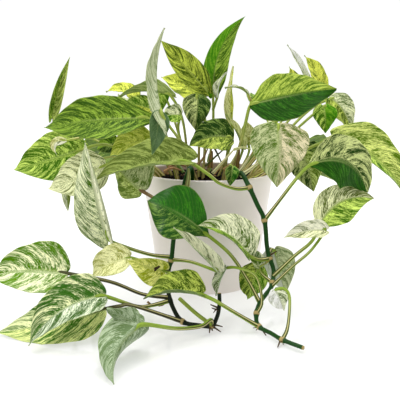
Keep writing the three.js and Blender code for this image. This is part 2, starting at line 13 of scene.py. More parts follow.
import bpy
import numpy as np
from mathutils import Euler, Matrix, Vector


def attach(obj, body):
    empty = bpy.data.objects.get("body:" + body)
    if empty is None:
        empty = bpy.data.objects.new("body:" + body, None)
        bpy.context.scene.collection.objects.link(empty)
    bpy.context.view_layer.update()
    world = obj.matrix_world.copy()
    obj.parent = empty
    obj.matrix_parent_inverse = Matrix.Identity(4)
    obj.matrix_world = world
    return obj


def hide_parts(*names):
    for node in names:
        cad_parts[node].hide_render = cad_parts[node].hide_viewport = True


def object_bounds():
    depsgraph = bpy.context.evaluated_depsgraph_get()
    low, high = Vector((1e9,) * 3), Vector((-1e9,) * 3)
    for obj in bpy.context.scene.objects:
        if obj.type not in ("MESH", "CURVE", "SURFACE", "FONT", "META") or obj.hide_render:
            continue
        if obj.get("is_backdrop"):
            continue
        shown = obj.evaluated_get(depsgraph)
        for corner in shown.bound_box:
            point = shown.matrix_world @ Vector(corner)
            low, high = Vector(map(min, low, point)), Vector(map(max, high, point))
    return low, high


MM = 0.001

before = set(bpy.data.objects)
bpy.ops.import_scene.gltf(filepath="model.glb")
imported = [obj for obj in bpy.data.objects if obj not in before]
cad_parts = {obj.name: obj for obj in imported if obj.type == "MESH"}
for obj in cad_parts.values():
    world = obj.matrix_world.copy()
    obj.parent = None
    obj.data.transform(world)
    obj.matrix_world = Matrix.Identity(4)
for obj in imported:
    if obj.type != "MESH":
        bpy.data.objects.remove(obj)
size_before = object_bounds()
print("frame nodes:", len(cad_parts))

# %% [markdown]
# Colours are easiest to read off as sRGB hex values, while a shader works in linear light. One
# function turns the first into the second, and everything below states its colours in hex.

# %% Colours


def linear(code):
    """An sRGB hex value such as "3C7A14" as linear red, green, blue and a full alpha."""
    parts = [int(code[i:i + 2], 16) / 255 for i in (0, 2, 4)]
    return [p / 12.92 if p <= 0.04045 else ((p + 0.055) / 1.055) ** 2.4 for p in parts] + [1.0]


print("linear value of mid grey:", round(linear("808080")[0], 3))

# %% [markdown]
# A material is a tree of nodes. It can be clicked together in the shader editor, but a tree that is
# written down can be run again and changed in one place. One function adds any node with its
# settings, values and links, and returns the socket that the next node takes up.

# %% Nodes and materials


def add(owner, kind, inputs=None, out=None, stops=(), **settings):
    """Adds one shader node to a material or world and returns one of its outputs.

    settings are the node's own properties, stops a colour ramp's positions and hex colours, and
    inputs its sockets' values or links. Without out, the first output in use is returned.
    """
    tree = owner.node_tree
    node = tree.nodes.new(kind)
    for name, value in settings.items():
        setattr(node, name, value)
    for number, (position, code) in enumerate(stops):
        marks = node.color_ramp.elements
        mark = marks[number] if number < 2 else marks.new(position)
        mark.position = position
        mark.color = linear(code)
    for socket, value in (inputs or {}).items():
        if isinstance(value, bpy.types.NodeSocket):
            tree.links.new(value, node.inputs[socket])
        else:
            node.inputs[socket].default_value = value
    if out is not None:
        return node.outputs[out]
    return next((socket for socket in node.outputs if socket.enabled), None)


def new_material(name, preview):
    """A material with nothing but an output; preview is its colour in the viewport."""
    material = bpy.data.materials.new(name)
    material.use_nodes = True
    material.node_tree.nodes.clear()
    material.diffuse_color = linear(preview)
    return material


print("materials before the first finish:", len(bpy.data.materials))

# %% [markdown]
# A blade is a thin waxy sheet on a curved midrib, heart-shaped at the stalk and drawn out to a drip
# tip. It could be sculpted, but a formula keeps sixty leaves alike and easy to change. The midrib is
# an arc from base to tip, and the width is a function of the place along it. The formula is the one
# that the frame's own leaves use, with finer steps.

# %% Outline and midrib
DEFAULT_BELLY = 0.27
TAPER = 1.15
BLUNT_BASE = 0.05


def unit(vectors):
    """The same directions with a length of one."""
    return vectors / np.linalg.norm(vectors, axis=-1, keepdims=True)


def outline(belly, s):
    """Half the width as a share of its greatest, which is at belly, from base (0) to tip (1)."""
    growth = TAPER * (belly + BLUNT_BASE) / (1 - belly)
    rising = ((s + BLUNT_BASE) / (belly + BLUNT_BASE)) ** growth
    return rising * (np.maximum(1 - s, 0) / (1 - belly)) ** TAPER


def midrib(leaf, s):
    """Place, direction, upper side and right-hand side of the midrib at the shares s."""
    base, tip = np.array(leaf["base"], float), np.array(leaf["tip"], float)
    chord = tip - base
    along = unit(chord)
    face = np.array(leaf["face"], float)
    face = unit(face - along * face.dot(along))
    right = np.cross(along, face)
    rise = (4 * s * (1 - s))[:, None]
    slope = (4 - 8 * s)[:, None]
    place = base + chord * s[:, None] + (face * leaf["bow"] + right * leaf["bend"]) * rise
    direction = unit(chord + (face * leaf["bow"] + right * leaf["bend"]) * slope)
    normal = unit(face - direction * (direction @ face)[:, None])
    return place, direction, normal, np.cross(direction, normal), np.linalg.norm(chord)


print("half width at the belly:", round(float(outline(DEFAULT_BELLY, np.array([DEFAULT_BELLY]))[0]), 3))

# %% [markdown]
# Both halves fold about the midrib, a little more towards the margin. One long wave and two rows of
# ripples run along the margin, and the skin puckers between the side veins, which sweep forward. A
# displacement texture could do that too, but here each height follows a vein or the margin.

# %% The blade's middle surface
DEFAULT_LOBE = 0.1
FOLD_AT_RIB, FOLD_OUTWARD, RIB_FLAT = 0.65, 0.35, 0.06
WAVE, WAVE_COUNT, WAVE_SHIFT = 1.2, 1.5, 0.25
# Height in mm on a leaf of RIPPLE_WIDTH, waves along the blade, and how far the halves differ.
RIPPLES = ((0.9, 2.4, 0.4), (0.5, 5.3, 0.2))
RIPPLE_WIDTH = 50
SIDE_VEINS, VEIN_SWEEP, VEIN_CURVE = 8, 0.3, 1.3
PUCKER, PUCKER_WIDTH = 0.3, 40


def blade_surface(leaf, s, v, starts):
    """Points and upward normals of the middle surface; v is -1 at the left margin and 1 at the right."""
    place, direction, normal, side, length = midrib(leaf, s)
    out = np.abs(v)
    hand = np.where(v < 0, -1.0, 1.0)
    fold = np.radians(np.where(v < 0, leaf["fold"][0], leaf["fold"][1]))
    angle = fold * (FOLD_AT_RIB + FOLD_OUTWARD * out)
    angle = angle * np.minimum(1, out / RIB_FLAT)
    reach = leaf["width"] / 2 * outline(leaf.get("belly", DEFAULT_BELLY), s) * out
    lobe = leaf.get("lobe", DEFAULT_LOBE) * length * np.sin(math.pi * out ** 0.8) * (1 - s) ** 3
    wave = WAVE * out ** 2 * np.sin(2 * math.pi * (WAVE_COUNT * s + WAVE_SHIFT * hand))
    ripple = leaf["width"] / RIPPLE_WIDTH * out ** 2 * sum(
        height * np.sin(2 * math.pi * (count * s + start + shift * hand))
        for (height, count, shift), start in zip(RIPPLES, starts))
    vein = s - VEIN_SWEEP * out ** VEIN_CURVE
    fade = np.sin(math.pi * np.clip(out, 0, 1)) * np.sin(math.pi * np.clip(s, 0, 1)) ** 0.5
    rise = PUCKER * min(1, leaf["width"] / PUCKER_WIDTH)
    pucker = rise * fade * np.cos(2 * math.pi * SIDE_VEINS * vein)
    points = place + side * (hand * np.cos(angle) * reach)[:, None]
    points += normal * (np.sin(angle) * reach + wave + ripple + pucker)[:, None]
    points -= direction * lobe[:, None]
    up = normal * np.cos(angle)[:, None] - side * (hand * np.sin(angle))[:, None]
    return points, up, reach, vein, length


print("side veins:", SIDE_VEINS, "rows of ripples:", len(RIPPLES))

# %% [markdown]
# A solidify modifier would give the blade one thickness all over. A real one is half a millimetre
# thick and thins out to the margin, so its upper and its under side are two grids of their own. All
# blades have the same faces, which are listed once: both grids, and the rim that joins them.

# %% Blade faces
ROWS, COLUMNS = 30, 21


def blade_faces():
    """Faces of the upper side, of the under side and of the rim that joins them."""
    count = ROWS * COLUMNS
    faces = []
    for row in range(ROWS - 1):
        for column in range(COLUMNS - 1):
            a = row * COLUMNS + column
            faces.append((a, a + 1, a + COLUMNS + 1, a + COLUMNS))
            faces.append((count + a, count + a + COLUMNS, count + a + COLUMNS + 1, count + a + 1))
    rim = list(range(COLUMNS)) + [r * COLUMNS + COLUMNS - 1 for r in range(1, ROWS)]
    rim += [count - 1 - c for c in range(1, COLUMNS)] + [r * COLUMNS for r in range(ROWS - 2, 0, -1)]
    for a, b in zip(rim, rim[1:] + rim[:1]):
        faces.append((b, a, count + a, count + b))
    return faces


BLADE_FACES = blade_faces()
print("faces of a blade:", len(BLADE_FACES))

# %% [markdown]
# A marbled pothos paints each half of a leaf in its own way, because the colour follows the cells
# from which that half grew. Sixty painted images could show that, but a short list of looks is easier
# to read and to mix. A look is a ground colour, the colour of the marbling over it, and the share of
# the half that the marbling takes.

# %% Looks of the leaf halves
LOOKS = {
    "dark": ("143800", "8CA750", 0.36),
    "deep": ("0E4A00", "86AC48", 0.40),
    "solid": ("174402", "397616", 0.34),
    "smooth": ("1C6000", "3A860C", 0.34),
    "fresh": ("3C8602", "8CC030", 0.42),
    "dusk": ("4E6E40", "6E8C5A", 0.40),
    "milk": ("4E6C14", "F0F2CA", 0.57),
    "straw": ("557808", "EDF78C", 0.48),
    "sage": ("56761E", "D6DEA4", 0.48),
    "steel": ("24520E", "CBDABC", 0.47),
    "snow": ("3E6602", "F8FCD2", 0.49),
    "meadow": ("2B4E02", "94B43C", 0.43),
    "inked": ("2E6402", "FAFCC2", 0.40),
    "frosted": ("345C08", "ECF6D4", 0.46),
    "cloud": ("5C8A06", "F8FACE", 0.47),
    "drift": ("4E7E04", "F4F6C4", 0.42),
    "acid": ("347600", "F4FCA4", 0.51),
    "sharp": ("286A00", "F8FEBE", 0.49),
    "green": ("2E5800", "A8CA4A", 0.43),
    "moss": ("324E00", "CEDE52", 0.46),
    "bright": ("3C6E00", "DCF674", 0.43),
    "lime": ("4F6A00", "F3FA67", 0.52),
    "yellow": ("98A61C", "FEFE98", 0.47),
    "butter": ("9CA13C", "FAFABC", 0.55),
    "olive": ("5E7C1A", "DAE88A", 0.47),
    "amber": ("94AC1E", "F6FA7C", 0.52),
    "grey": ("52651F", "A2B25C", 0.48),
    "silver": ("4E681C", "FAFEDC", 0.53),
    "mottled": ("446408", "FAFECC", 0.51),
    "pale": ("586A1C", "F7FAC4", 0.54),
    "cream": ("FAFADC", "4E6414", 0.38),
    "white": ("FAFAF5", "6E7B44", 0.30),
    "marbled": ("365602", "D0E064", 0.46),
    "grass": ("4A6C0A", "B8CC54", 0.48),
    "veiled": ("1B3C01", "CBD68A", 0.48),
    "blush": ("5E7428", "EADFB6", 0.52),
}
print("looks:", len(LOOKS))

# %% [markdown]
# The grain is the pattern's own ruler along and across the veins. Most leaves are marbled in fine
# streaks, and seven have larger patches. Each could have a material of its own, but one number does
# it: how many mm of the pattern fit into one of the leaf. A smaller number is coarser.

# %% Grain of each leaf
USUAL_GRAIN = 1.35
COARSE = {"trail_left_4": 0.55, "trail_left_5": 0.8, "trail_left_3": 0.75, "trail_right_5": 0.7,
          "trail_right_2": 0.7, "trail_left_6": 0.8, "crown_right_7": 0.8}
print("coarse leaves:", len(COARSE))

# %% [markdown]
# Rows run across the blade from base to tip, and lie closer together at the tip, where it narrows
# fast. The corners at the base are cut round, as a heart-shaped leaf has no corners there. The midrib
# is a groove on top and a rounded keel below. Marbling runs along the side veins, so each point also
# stores how far along and across the veins it lies, which the material reads as named attributes.

# %% Blade mesh data
BLADE_MIDDLE, BLADE_MARGIN = 0.5, 0.3
# The groove's and the keel's depth and half width in mm; both thin out and fade towards the tip.
GROOVE, KEEL = 0.35, 0.9
RIB_WIDTH, RIB_THINS, RIB_FADES = 1.1, 1.15, 0.4
ROW_CROWDING, LAST_ROW = 1.1, 0.995
CORNER_CUT = 0.13
# Columns lie closer together at the margins, like the posts of a round fence seen from the side.
MARGIN_REACH = 0.9
GRAIN_SLANT = 0.2
# Every leaf, and each of its halves, starts at a place of its own in the noise.
LEAF_STEP, HALF_STARTS = 37.0, (400.0, 490.0)
LIES_AT = 0.15


def blade_data(leaf, looks, seed):
    """Points, faces and attribute values of one blade, in millimetres."""
    draw = random.Random(seed)
    starts = [draw.random() for _ in RIPPLES]
    shares = 1 - (1 - np.linspace(0, 1, ROWS)) ** ROW_CROWDING
    shares[-1] = LAST_ROW
    quarter = math.pi / 2 * MARGIN_REACH
    across = np.sin(np.linspace(-quarter, quarter, COLUMNS)) / math.sin(quarter)
    s, v = [grid.ravel() for grid in np.meshgrid(shares, across, indexing="ij")]
    s = s + CORNER_CUT * (1 - np.sqrt(1 - v ** 2)) * (1 - s) ** 4
    middle, up, reach, vein, length = blade_surface(leaf, s, v, starts)
    out = np.abs(v)
    rib = np.exp(-(reach / (RIB_WIDTH * (RIB_THINS - s))) ** 2) * (1 - s) ** RIB_FADES
    half = (BLADE_MIDDLE + (BLADE_MARGIN - BLADE_MIDDLE) * out)[:, None] / 2
    top = middle + up * (half - (GROOVE * rib)[:, None])
    under = middle - up * (half + (KEEL * rib)[:, None])
    # A leaf that lies on the board is pressed flat there and doesn't dip into it.
    top[:, 2] = np.maximum(top[:, 2], LIES_AT + BLADE_MARGIN)
    under[:, 2] = np.maximum(under[:, 2], LIES_AT)
    count = len(s)
    left, right = LOOKS[looks[0]], LOOKS[looks[1]]
    is_left = (v < 0)[:, None]
    fine = COARSE.get(leaf.get("name"), USUAL_GRAIN)
    grain = np.stack([fine * (reach + GRAIN_SLANT * s * length), fine * vein * length,
                      LEAF_STEP * seed + np.where(v < 0, *HALF_STARTS)], 1)
    values = {
        "ground": np.where(is_left, linear(left[0]), linear(right[0])),
        "marble": np.where(is_left, linear(left[1]), linear(right[1])),
        "share": np.where(v < 0, left[2], right[2]),
        "grain": grain,
        "rib": rib,
        "margin": out,
    }
    values = {field: np.concatenate([value, value]) for field, value in values.items()}
    values["under"] = np.repeat([0.0, 1.0], count)
    return np.concatenate([top, under]), BLADE_FACES, values


print("blade points:", 2 * ROWS * COLUMNS)

# %% [markdown]
# Stalks and stems are round rods along a smooth line. A curve object with a bevel would give the same
# round section, but a swept ring of points also lets each point keep its place and its angle, which
# the streaks of the skin need. So one function smooths a line and another sweeps a ring along it.

# %% Rods along a line
GROOVE_ANGLE = 0.5


def smooth_line(points, steps):
    """Points along a curve through the given ones, with as many steps from each to the next."""
    p = np.array(points, float)
    p = np.concatenate([[2 * p[0] - p[1]], p, [2 * p[-1] - p[-2]]])
    line = []
    for a, b, c, d in zip(p, p[1:], p[2:], p[3:]):
        for t in np.linspace(0, 1, steps, endpoint=False):
            line.append(0.5 * (2 * b + (c - a) * t + (2 * a - 5 * b + 4 * c - d) * t ** 2
                               + (3 * b - a - 3 * c + d) * t ** 3))
    return np.array(line + [p[-2]])


def lengths_along(line):
    """How far along the line each of its points lies, in mm."""
    return np.concatenate([[0], np.cumsum(np.linalg.norm(np.diff(line, axis=0), axis=1))])


def rod_data(line, radius, sides, groove=0.0, hint=(0.0, 0.0, 1.0)):
    """Points, faces, place along (mm) and angle of a rod; radius has a value for each point of line.

    The groove is the share of the radius that is taken out on the side to which hint points.
    """
    travel = unit(np.gradient(line, axis=0))
    across = np.array(hint, float)
    points = []
    turn = np.arange(sides) * 2 * math.pi / sides
    shape = 1 - groove * np.exp(-((turn - math.pi / 2) / GROOVE_ANGLE) ** 2)
    for centre, direction, size in zip(line, travel, radius):
        across = unit(across - direction * across.dot(direction))
        beside = np.cross(direction, across)
        ring = np.cos(turn)[:, None] * beside + np.sin(turn)[:, None] * across
        points.append(centre + ring * (size * shape)[:, None])
    faces = []
    for row in range(len(line) - 1):
        for k in range(sides):
            a, b = row * sides + k, row * sides + (k + 1) % sides
            faces.append((a, a + sides, b + sides, b))
    last = (len(line) - 1) * sides
    faces.append(tuple(range(sides)))
    faces.append(tuple(last + k for k in reversed(range(sides))))
    places = np.repeat(lengths_along(line), sides)
    return np.concatenate(points), faces, places, np.tile(turn, len(line))


print("a bent line of 3 points in steps of 4:", len(smooth_line([(0, 0, 0), (1, 0, 0), (1, 1, 0)], 4)))

# %% [markdown]
# A stalk is grooved along its upper side, and the two edges of that groove dry to a brown seam. It
# swells a little where it leaves the stem and again at the knee under the blade. Close under the
# blade it runs along the midrib and thins out into it, as in the frame. Swells are bell curves along
# the rod, so no joint shows. Seams and the pale channel between them are told by the angle from the
# channel's middle, in radians.

# %% Stalks
STALK_RADIUS, STALK_SIDES, STALK_STEPS = 1.65, 20, 8
MIDRIB_HOLD, SUNK = 0.14, 0.5
# Narrow leaves have slimmer stalks. Swells are mm of radius, and reaches are mm along the stalk.
SLIM_LEAST, SLIM_WIDTH = 0.55, 90
FOOT_SWELL, FOOT_REACH = 0.5, 12
KNEE_SWELL, KNEE_REACH, KNEE_BACK = 0.25, 5, 9
END_REACH, END_LEAST = 5, 0.25
STALK_GROOVE = 0.3
CHANNEL_SIDE = (0.0, -0.6, 0.8)
CHANNEL, CHANNEL_SHARE, CHANNEL_EDGE = "E6DC9A", 0.75, 0.2
SEAM_ANGLE, SEAM_WIDTH, SEAM_SHARE = 0.66, 0.34, 1.1
# The grain runs on by this many mm for each radian around, and each stalk has its own place in it.
STALK_AROUND, STALK_STEP = 2, 13.0


def stalk_line(leaf):
    """The stalk's middle line, as in the frame: root, what it passes, and along under the midrib."""
    place, _, normal, _, _ = midrib(leaf, np.array([0.0, MIDRIB_HOLD]))
    end = place - normal * SUNK * STALK_RADIUS
    return smooth_line([leaf["root"], *leaf["via"], end[0], end[1]], STALK_STEPS)


def stalk_data(leaf, tone, seed):
    """A grooved stalk with a swollen foot and knee."""
    line = stalk_line(leaf)
    passed = lengths_along(line)
    total = passed[-1]
    slim = min(1, SLIM_LEAST + leaf["width"] / SLIM_WIDTH)
    foot = FOOT_SWELL * np.exp(-(passed / FOOT_REACH) ** 2)
    knee = KNEE_SWELL * np.exp(-((passed - total + KNEE_BACK) / KNEE_REACH) ** 2)
    close = np.clip((total - passed) / END_REACH, END_LEAST, 1)
    radius = (STALK_RADIUS * slim + foot + knee) * close
    points, faces, places, angles = rod_data(line, radius, STALK_SIDES, STALK_GROOVE, CHANNEL_SIDE)
    from_middle = np.abs(angles - math.pi / 2)
    # The seam fades out between a quarter and three quarters of the way up.
    lower = np.clip(1.5 - 2 * places / total, 0, 1)
    skin, seam_tone = [np.array(linear(code)) for code in tone]
    inside = (np.clip((SEAM_ANGLE - from_middle) / CHANNEL_EDGE, 0, 1) * lower)[:, None]
    values = {
        "ground": skin + (np.array(linear(CHANNEL)) - skin) * inside * CHANNEL_SHARE,
        "marble": np.tile(seam_tone, (len(points), 1)),
        "share": SEAM_SHARE * np.exp(-((from_middle - SEAM_ANGLE) / SEAM_WIDTH) ** 2) * lower,
        "grain": np.stack([places, angles * STALK_AROUND, np.full(len(points), STALK_STEP * seed)], 1),
        **{field: np.zeros(len(points)) for field in ("rib", "margin", "under")},
    }
    return points, faces, values


print("stalk thickness:", 2 * STALK_RADIUS, "mm")

# %% [markdown]
# Pieces are built from one or more such lists of points. They could also be made apart and joined,
# but one mesh from lists is faster and keeps its order. Faces are smooth shaded, and each list keeps
# its own material. Named attributes carry the colours and the grain to the material.

# %% Making a piece from point lists
ATTRIBUTES = {"ground": "FLOAT_COLOR", "marble": "FLOAT_COLOR", "share": "FLOAT",
              "grain": "FLOAT_VECTOR", "rib": "FLOAT", "margin": "FLOAT", "under": "FLOAT"}
ATTRIBUTE_FIELD = {"FLOAT_COLOR": "color", "FLOAT_VECTOR": "vector", "FLOAT": "value"}


def make_piece(name, parts, materials):
    """One mesh from parts, a list of (points in mm, faces, values, material number)."""
    points, faces, numbers, start = [], [], [], 0
    for part_points, part_faces, _, material in parts:
        points.append(part_points)
        faces += [tuple(start + i for i in face) for face in part_faces]
        numbers += [material] * len(part_faces)
        start += len(part_points)
    mesh = bpy.data.meshes.new(name)
    mesh.from_pydata((np.concatenate(points) * MM).tolist(), [], faces)
    for material in materials:
        mesh.materials.append(material)
    mesh.polygons.foreach_set("material_index", numbers)
    mesh.polygons.foreach_set("use_smooth", [True] * len(faces))
    for field, kind in ATTRIBUTES.items():
        if all(field in values for _, _, values, _ in parts):
            layer = mesh.attributes.new(field, kind, "POINT")
            data = np.concatenate([values[field] for _, _, values, _ in parts])
            layer.data.foreach_set(ATTRIBUTE_FIELD[kind], data.astype(np.float32).ravel())
    mesh.update()
    piece = bpy.data.objects.new(name, mesh)
    bpy.context.scene.collection.objects.link(piece)
    return piece


print("attributes:", ", ".join(ATTRIBUTES))

# %% [markdown]
# A piece rides on the frame's only body. Where it stands for a plain solid of the frame, that solid
# is hidden.

# %% Giving a piece its place


def place_piece(piece, slot, *nodes):
    """Lets a piece ride on the frame's body and stand for the frame's nodes, which are hidden.

    slot is not used.
    """
    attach(piece, "root")
    if nodes:
        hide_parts(*nodes)


def shade_flat(piece):
    """Broken crumbs and chips have sharp edges, so their faces are shaded one by one."""
    piece.data.polygons.foreach_set("use_smooth", [False] * len(piece.data.polygons))


print("nodes that pieces can stand for:", len(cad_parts))

# %% [markdown]
# A pothos leaf is living skin under clear wax, and the skin is marbled: cream where the cells have no
# green, green where they have, with ragged edges drawn out along the side veins. A painted image could
# give that for one leaf. Noise that is stretched along the veins gives it for all of them. It has
# three sizes, as on a real leaf with large patches: streaks of 0.9 by 5 mm, patches of 6 by 16 mm and
# flecks of 0.6 by 1.4 mm. The finest dots of a real leaf are half as large; they wouldn't show, so the
# flecks are drawn coarser. Fine leaves show all three 1.35 times smaller and coarse ones larger.

# %% Grain of the marbling
STREAK = (0.9, 5.0)
PATCH = (6.0, 16.0)
FLECK = (0.6, 1.4)
# This scales the distance from leaf to leaf in the noise.
LEAF_TO_LEAF = 0.37


def streaks(skin, grain, size, detail):
    """Noise in the skin's own grain; size is its width and its length along the grain, in mm."""
    drawn_out = (1 / size[1], 1 / size[0], LEAF_TO_LEAF)
    stretched = add(skin, "ShaderNodeVectorMath", {0: grain, 1: drawn_out}, operation="MULTIPLY")
    return add(skin, "ShaderNodeTexNoise", {"Vector": stretched, "Scale": 1.0, "Detail": detail,
                                            "Roughness": 0.68, "Distortion": 0.4})


print("streaks:", STREAK, "patches:", PATCH, "flecks:", FLECK, "mm")

# %% [markdown]
# The three noises are added by weight and cut at a height that the share sets. The cut is a little
# soft, since on a real leaf a thin film of green runs over the edge of the cream. Flecks also darken
# and lighten the colour, which keeps the plain parts from looking painted.

# %% Marbling
STREAK_WEIGHT, PATCH_WEIGHT, FLECK_WEIGHT = 0.34, 0.38, 0.28
# The noises' sum seldom leaves the range from 0.35 to 0.65, so that is the range of the cut.
CUT_HIGHEST, CUT_RANGE = 0.65, 0.30
SOFT_EDGE = 0.058
# A single noise seldom leaves this range.
NOISE_LOW, NOISE_HIGH = 0.3, 0.7
FLECK_DARKEST, FLECK_LIGHTEST = 0.72, 1.2


def marbling(skin, grain):
    """The marbled colour, and the streaks and flecks, which shine and relief follow."""
    ground = add(skin, "ShaderNodeAttribute", out="Color", attribute_name="ground")
    marble = add(skin, "ShaderNodeAttribute", out="Color", attribute_name="marble")
    share = add(skin, "ShaderNodeAttribute", out="Fac", attribute_name="share")
    streak = streaks(skin, grain, STREAK, 4)
    patch = streaks(skin, grain, PATCH, 2)
    fleck = streaks(skin, grain, FLECK, 3)
    mixture = add(skin, "ShaderNodeMath", {0: streak, 1: STREAK_WEIGHT}, operation="MULTIPLY")
    mixture = add(skin, "ShaderNodeMath", {0: patch, 1: PATCH_WEIGHT, 2: mixture},
                  operation="MULTIPLY_ADD")
    mixture = add(skin, "ShaderNodeMath", {0: fleck, 1: FLECK_WEIGHT, 2: mixture},
                  operation="MULTIPLY_ADD")
    cut = add(skin, "ShaderNodeMath", {0: share, 1: -CUT_RANGE, 2: CUT_HIGHEST},
              operation="MULTIPLY_ADD")
    above = add(skin, "ShaderNodeMath", {0: mixture, 1: cut}, operation="SUBTRACT")
    mask = add(skin, "ShaderNodeMapRange",
               {"Value": above, "From Min": -SOFT_EDGE, "From Max": SOFT_EDGE},
               interpolation_type="SMOOTHSTEP")
    colour = add(skin, "ShaderNodeMix", {0: mask, 6: ground, 7: marble}, data_type="RGBA")
    tone = add(skin, "ShaderNodeMapRange", {"Value": fleck, "From Min": NOISE_LOW, "From Max": NOISE_HIGH,
                                            "To Min": FLECK_DARKEST, "To Max": FLECK_LIGHTEST})
    toned = add(skin, "ShaderNodeVectorMath", {0: colour, "Scale": tone}, operation="SCALE")
    return toned, streak, fleck


print("soft edge of the marbling:", SOFT_EDGE)

# %% [markdown]
# Side veins stand 5.2 mm apart in the grain, which is about 4 mm on a fine leaf. Modelled veins would
# need far more faces, so a node that counts up and down draws them: it is zero at each vein and at its
# highest half way to the next. The midrib is paler than the skin, the margin gets a thin pale rim that
# is a painted highlight, and the under side has less green, so it looks duller. Each shows through by a
# share of its own.

# %% Veins, midrib and painted highlight on the margin
VEIN_HALF_GAP, VEIN_HALF_WIDTH = 2.6, 0.4
RIB_SHARPNESS = 4.0
RIM_HIGHLIGHT_START = 0.955
# The margin tone is a painted highlight, a thin pale rim along the leaf's edge.
VEIN_TONE, RIB_TONE, RIM_HIGHLIGHT_TONE, UNDER_TONE = "C9D48A", "B9C878", "B4C06A", "7A9058"
VEIN_SHARE, RIB_SHARE, RIM_HIGHLIGHT_SHARE, UNDER_SHARE = 0.08, 0.6, 0.35, 0.45


def veined(skin, colour, grain):
    """Adds veins, midrib, a painted highlight on the margin and the under side to a colour; also returns
    the vein lines.
    """
    rib = add(skin, "ShaderNodeAttribute", out="Fac", attribute_name="rib")
    margin = add(skin, "ShaderNodeAttribute", out="Fac", attribute_name="margin")
    under = add(skin, "ShaderNodeAttribute", out="Fac", attribute_name="under")
    place = add(skin, "ShaderNodeSeparateXYZ", {0: grain}, out="Y")
    wave = add(skin, "ShaderNodeMath", {0: place, 1: VEIN_HALF_GAP}, operation="PINGPONG")
    vein = add(skin, "ShaderNodeMapRange", {"Value": wave, "From Min": 0.0, "From Max": VEIN_HALF_WIDTH,
                                            "To Min": VEIN_SHARE, "To Max": 0.0})
    rib_core = add(skin, "ShaderNodeMath", {0: rib, 1: RIB_SHARPNESS}, operation="POWER")
    rib_share = add(skin, "ShaderNodeMath", {0: rib_core, 1: RIB_SHARE}, operation="MULTIPLY")
    # A painted highlight along the margin.
    rim_highlight_share = add(skin, "ShaderNodeMapRange",
                       {"Value": margin, "From Min": RIM_HIGHLIGHT_START, "From Max": 1.0,
                        "To Min": 0.0, "To Max": RIM_HIGHLIGHT_SHARE})
    under_share = add(skin, "ShaderNodeMath", {0: under, 1: UNDER_SHARE}, operation="MULTIPLY")
    for share, tone in ((vein, VEIN_TONE), (rib_share, RIB_TONE), (rim_highlight_share, RIM_HIGHLIGHT_TONE),
                        (under_share, UNDER_TONE)):
        colour = add(skin, "ShaderNodeMix", {0: share, 6: colour, 7: linear(tone)}, data_type="RGBA")
    return colour, vein


print("side veins every", round(2 * VEIN_HALF_GAP / USUAL_GRAIN, 1), "mm")

# %% [markdown]
# The wax gives a soft gloss at an IOR of 1.4. Most leaves have dusty, dull wax; a few young ones are
# clean and shine more. So the same skin is made twice, with other values of gloss and roughness. Its
# fine relief comes from a bump: the veins are sunk by a few hundredths of a millimetre, and the flecks
# stand up between them.

# %% Leaf skin
WAX_IOR = 1.4
SKIN_RELIEF, SKIN_BUMP = 0.4, 0.35
VEIN_DEPTH, FLECK_HEIGHT = 2.0, 0.6
ROUGH_RANGE = 0.16


def leaf_skin(name, gloss, roughest):
    """Leaf skin; gloss is the strength of its shine and roughest the roughness of its dull streaks."""
    skin = new_material(name, "4F9608")
    grain = add(skin, "ShaderNodeAttribute", out="Vector", attribute_name="grain")
    marbled, streak, fleck = marbling(skin, grain)
    colour, vein = veined(skin, marbled, grain)
    rough = add(skin, "ShaderNodeMapRange",
                {"Value": streak, "From Min": NOISE_LOW, "From Max": NOISE_HIGH,
                 "To Min": roughest - ROUGH_RANGE, "To Max": roughest})
    relief = add(skin, "ShaderNodeMath", {0: vein, 1: -VEIN_DEPTH}, operation="MULTIPLY")
    relief = add(skin, "ShaderNodeMath", {0: fleck, 1: FLECK_HEIGHT, 2: relief},
                 operation="MULTIPLY_ADD")
    bump = add(skin, "ShaderNodeBump", {"Height": relief, "Strength": SKIN_BUMP,
                                        "Distance": SKIN_RELIEF * MM})
    shader = add(skin, "ShaderNodeBsdfPrincipled",
                 {"Base Color": colour, "Roughness": rough, "IOR": WAX_IOR,
                  "Specular IOR Level": gloss, "Normal": bump})
    add(skin, "ShaderNodeOutputMaterial", {"Surface": shader})
    return skin


LEAF_SKIN = leaf_skin("waxy_leaf_skin", gloss=0.08, roughest=0.6)
SHINY_LEAF_SKIN = leaf_skin("shiny_leaf_skin", gloss=0.3, roughest=0.4)
print(LEAF_SKIN.name, "nodes:", len(LEAF_SKIN.node_tree.nodes))

# %% [markdown]
# Stalks are the same living skin without marbling: lime to olive, streaked lengthwise, with a brown
# papery seam along the groove near the foot. The long stems are darker and thicker, nearly black
# green, with a tan ring at each joint where a leaf has grown. One material serves them all, as each
# point brings its own two colours. The streaks are 1.2 by 9 mm, and they also make the seam ragged.

# %% Stalk and stem skin
STALK_STREAK = (1.2, 9.0)
STALK_ROUGHNESS, STALK_IOR, STALK_GLOSS, STALK_BUMP = 0.42, 1.45, 0.2, 0.4
SEAM_RAGGED = 0.8
SEAM_FROM, SEAM_TO, SEAM_COVER = 0.2, 0.6, 0.85
STREAK_DARKEST, STREAK_LIGHTEST = 0.7, 1.25


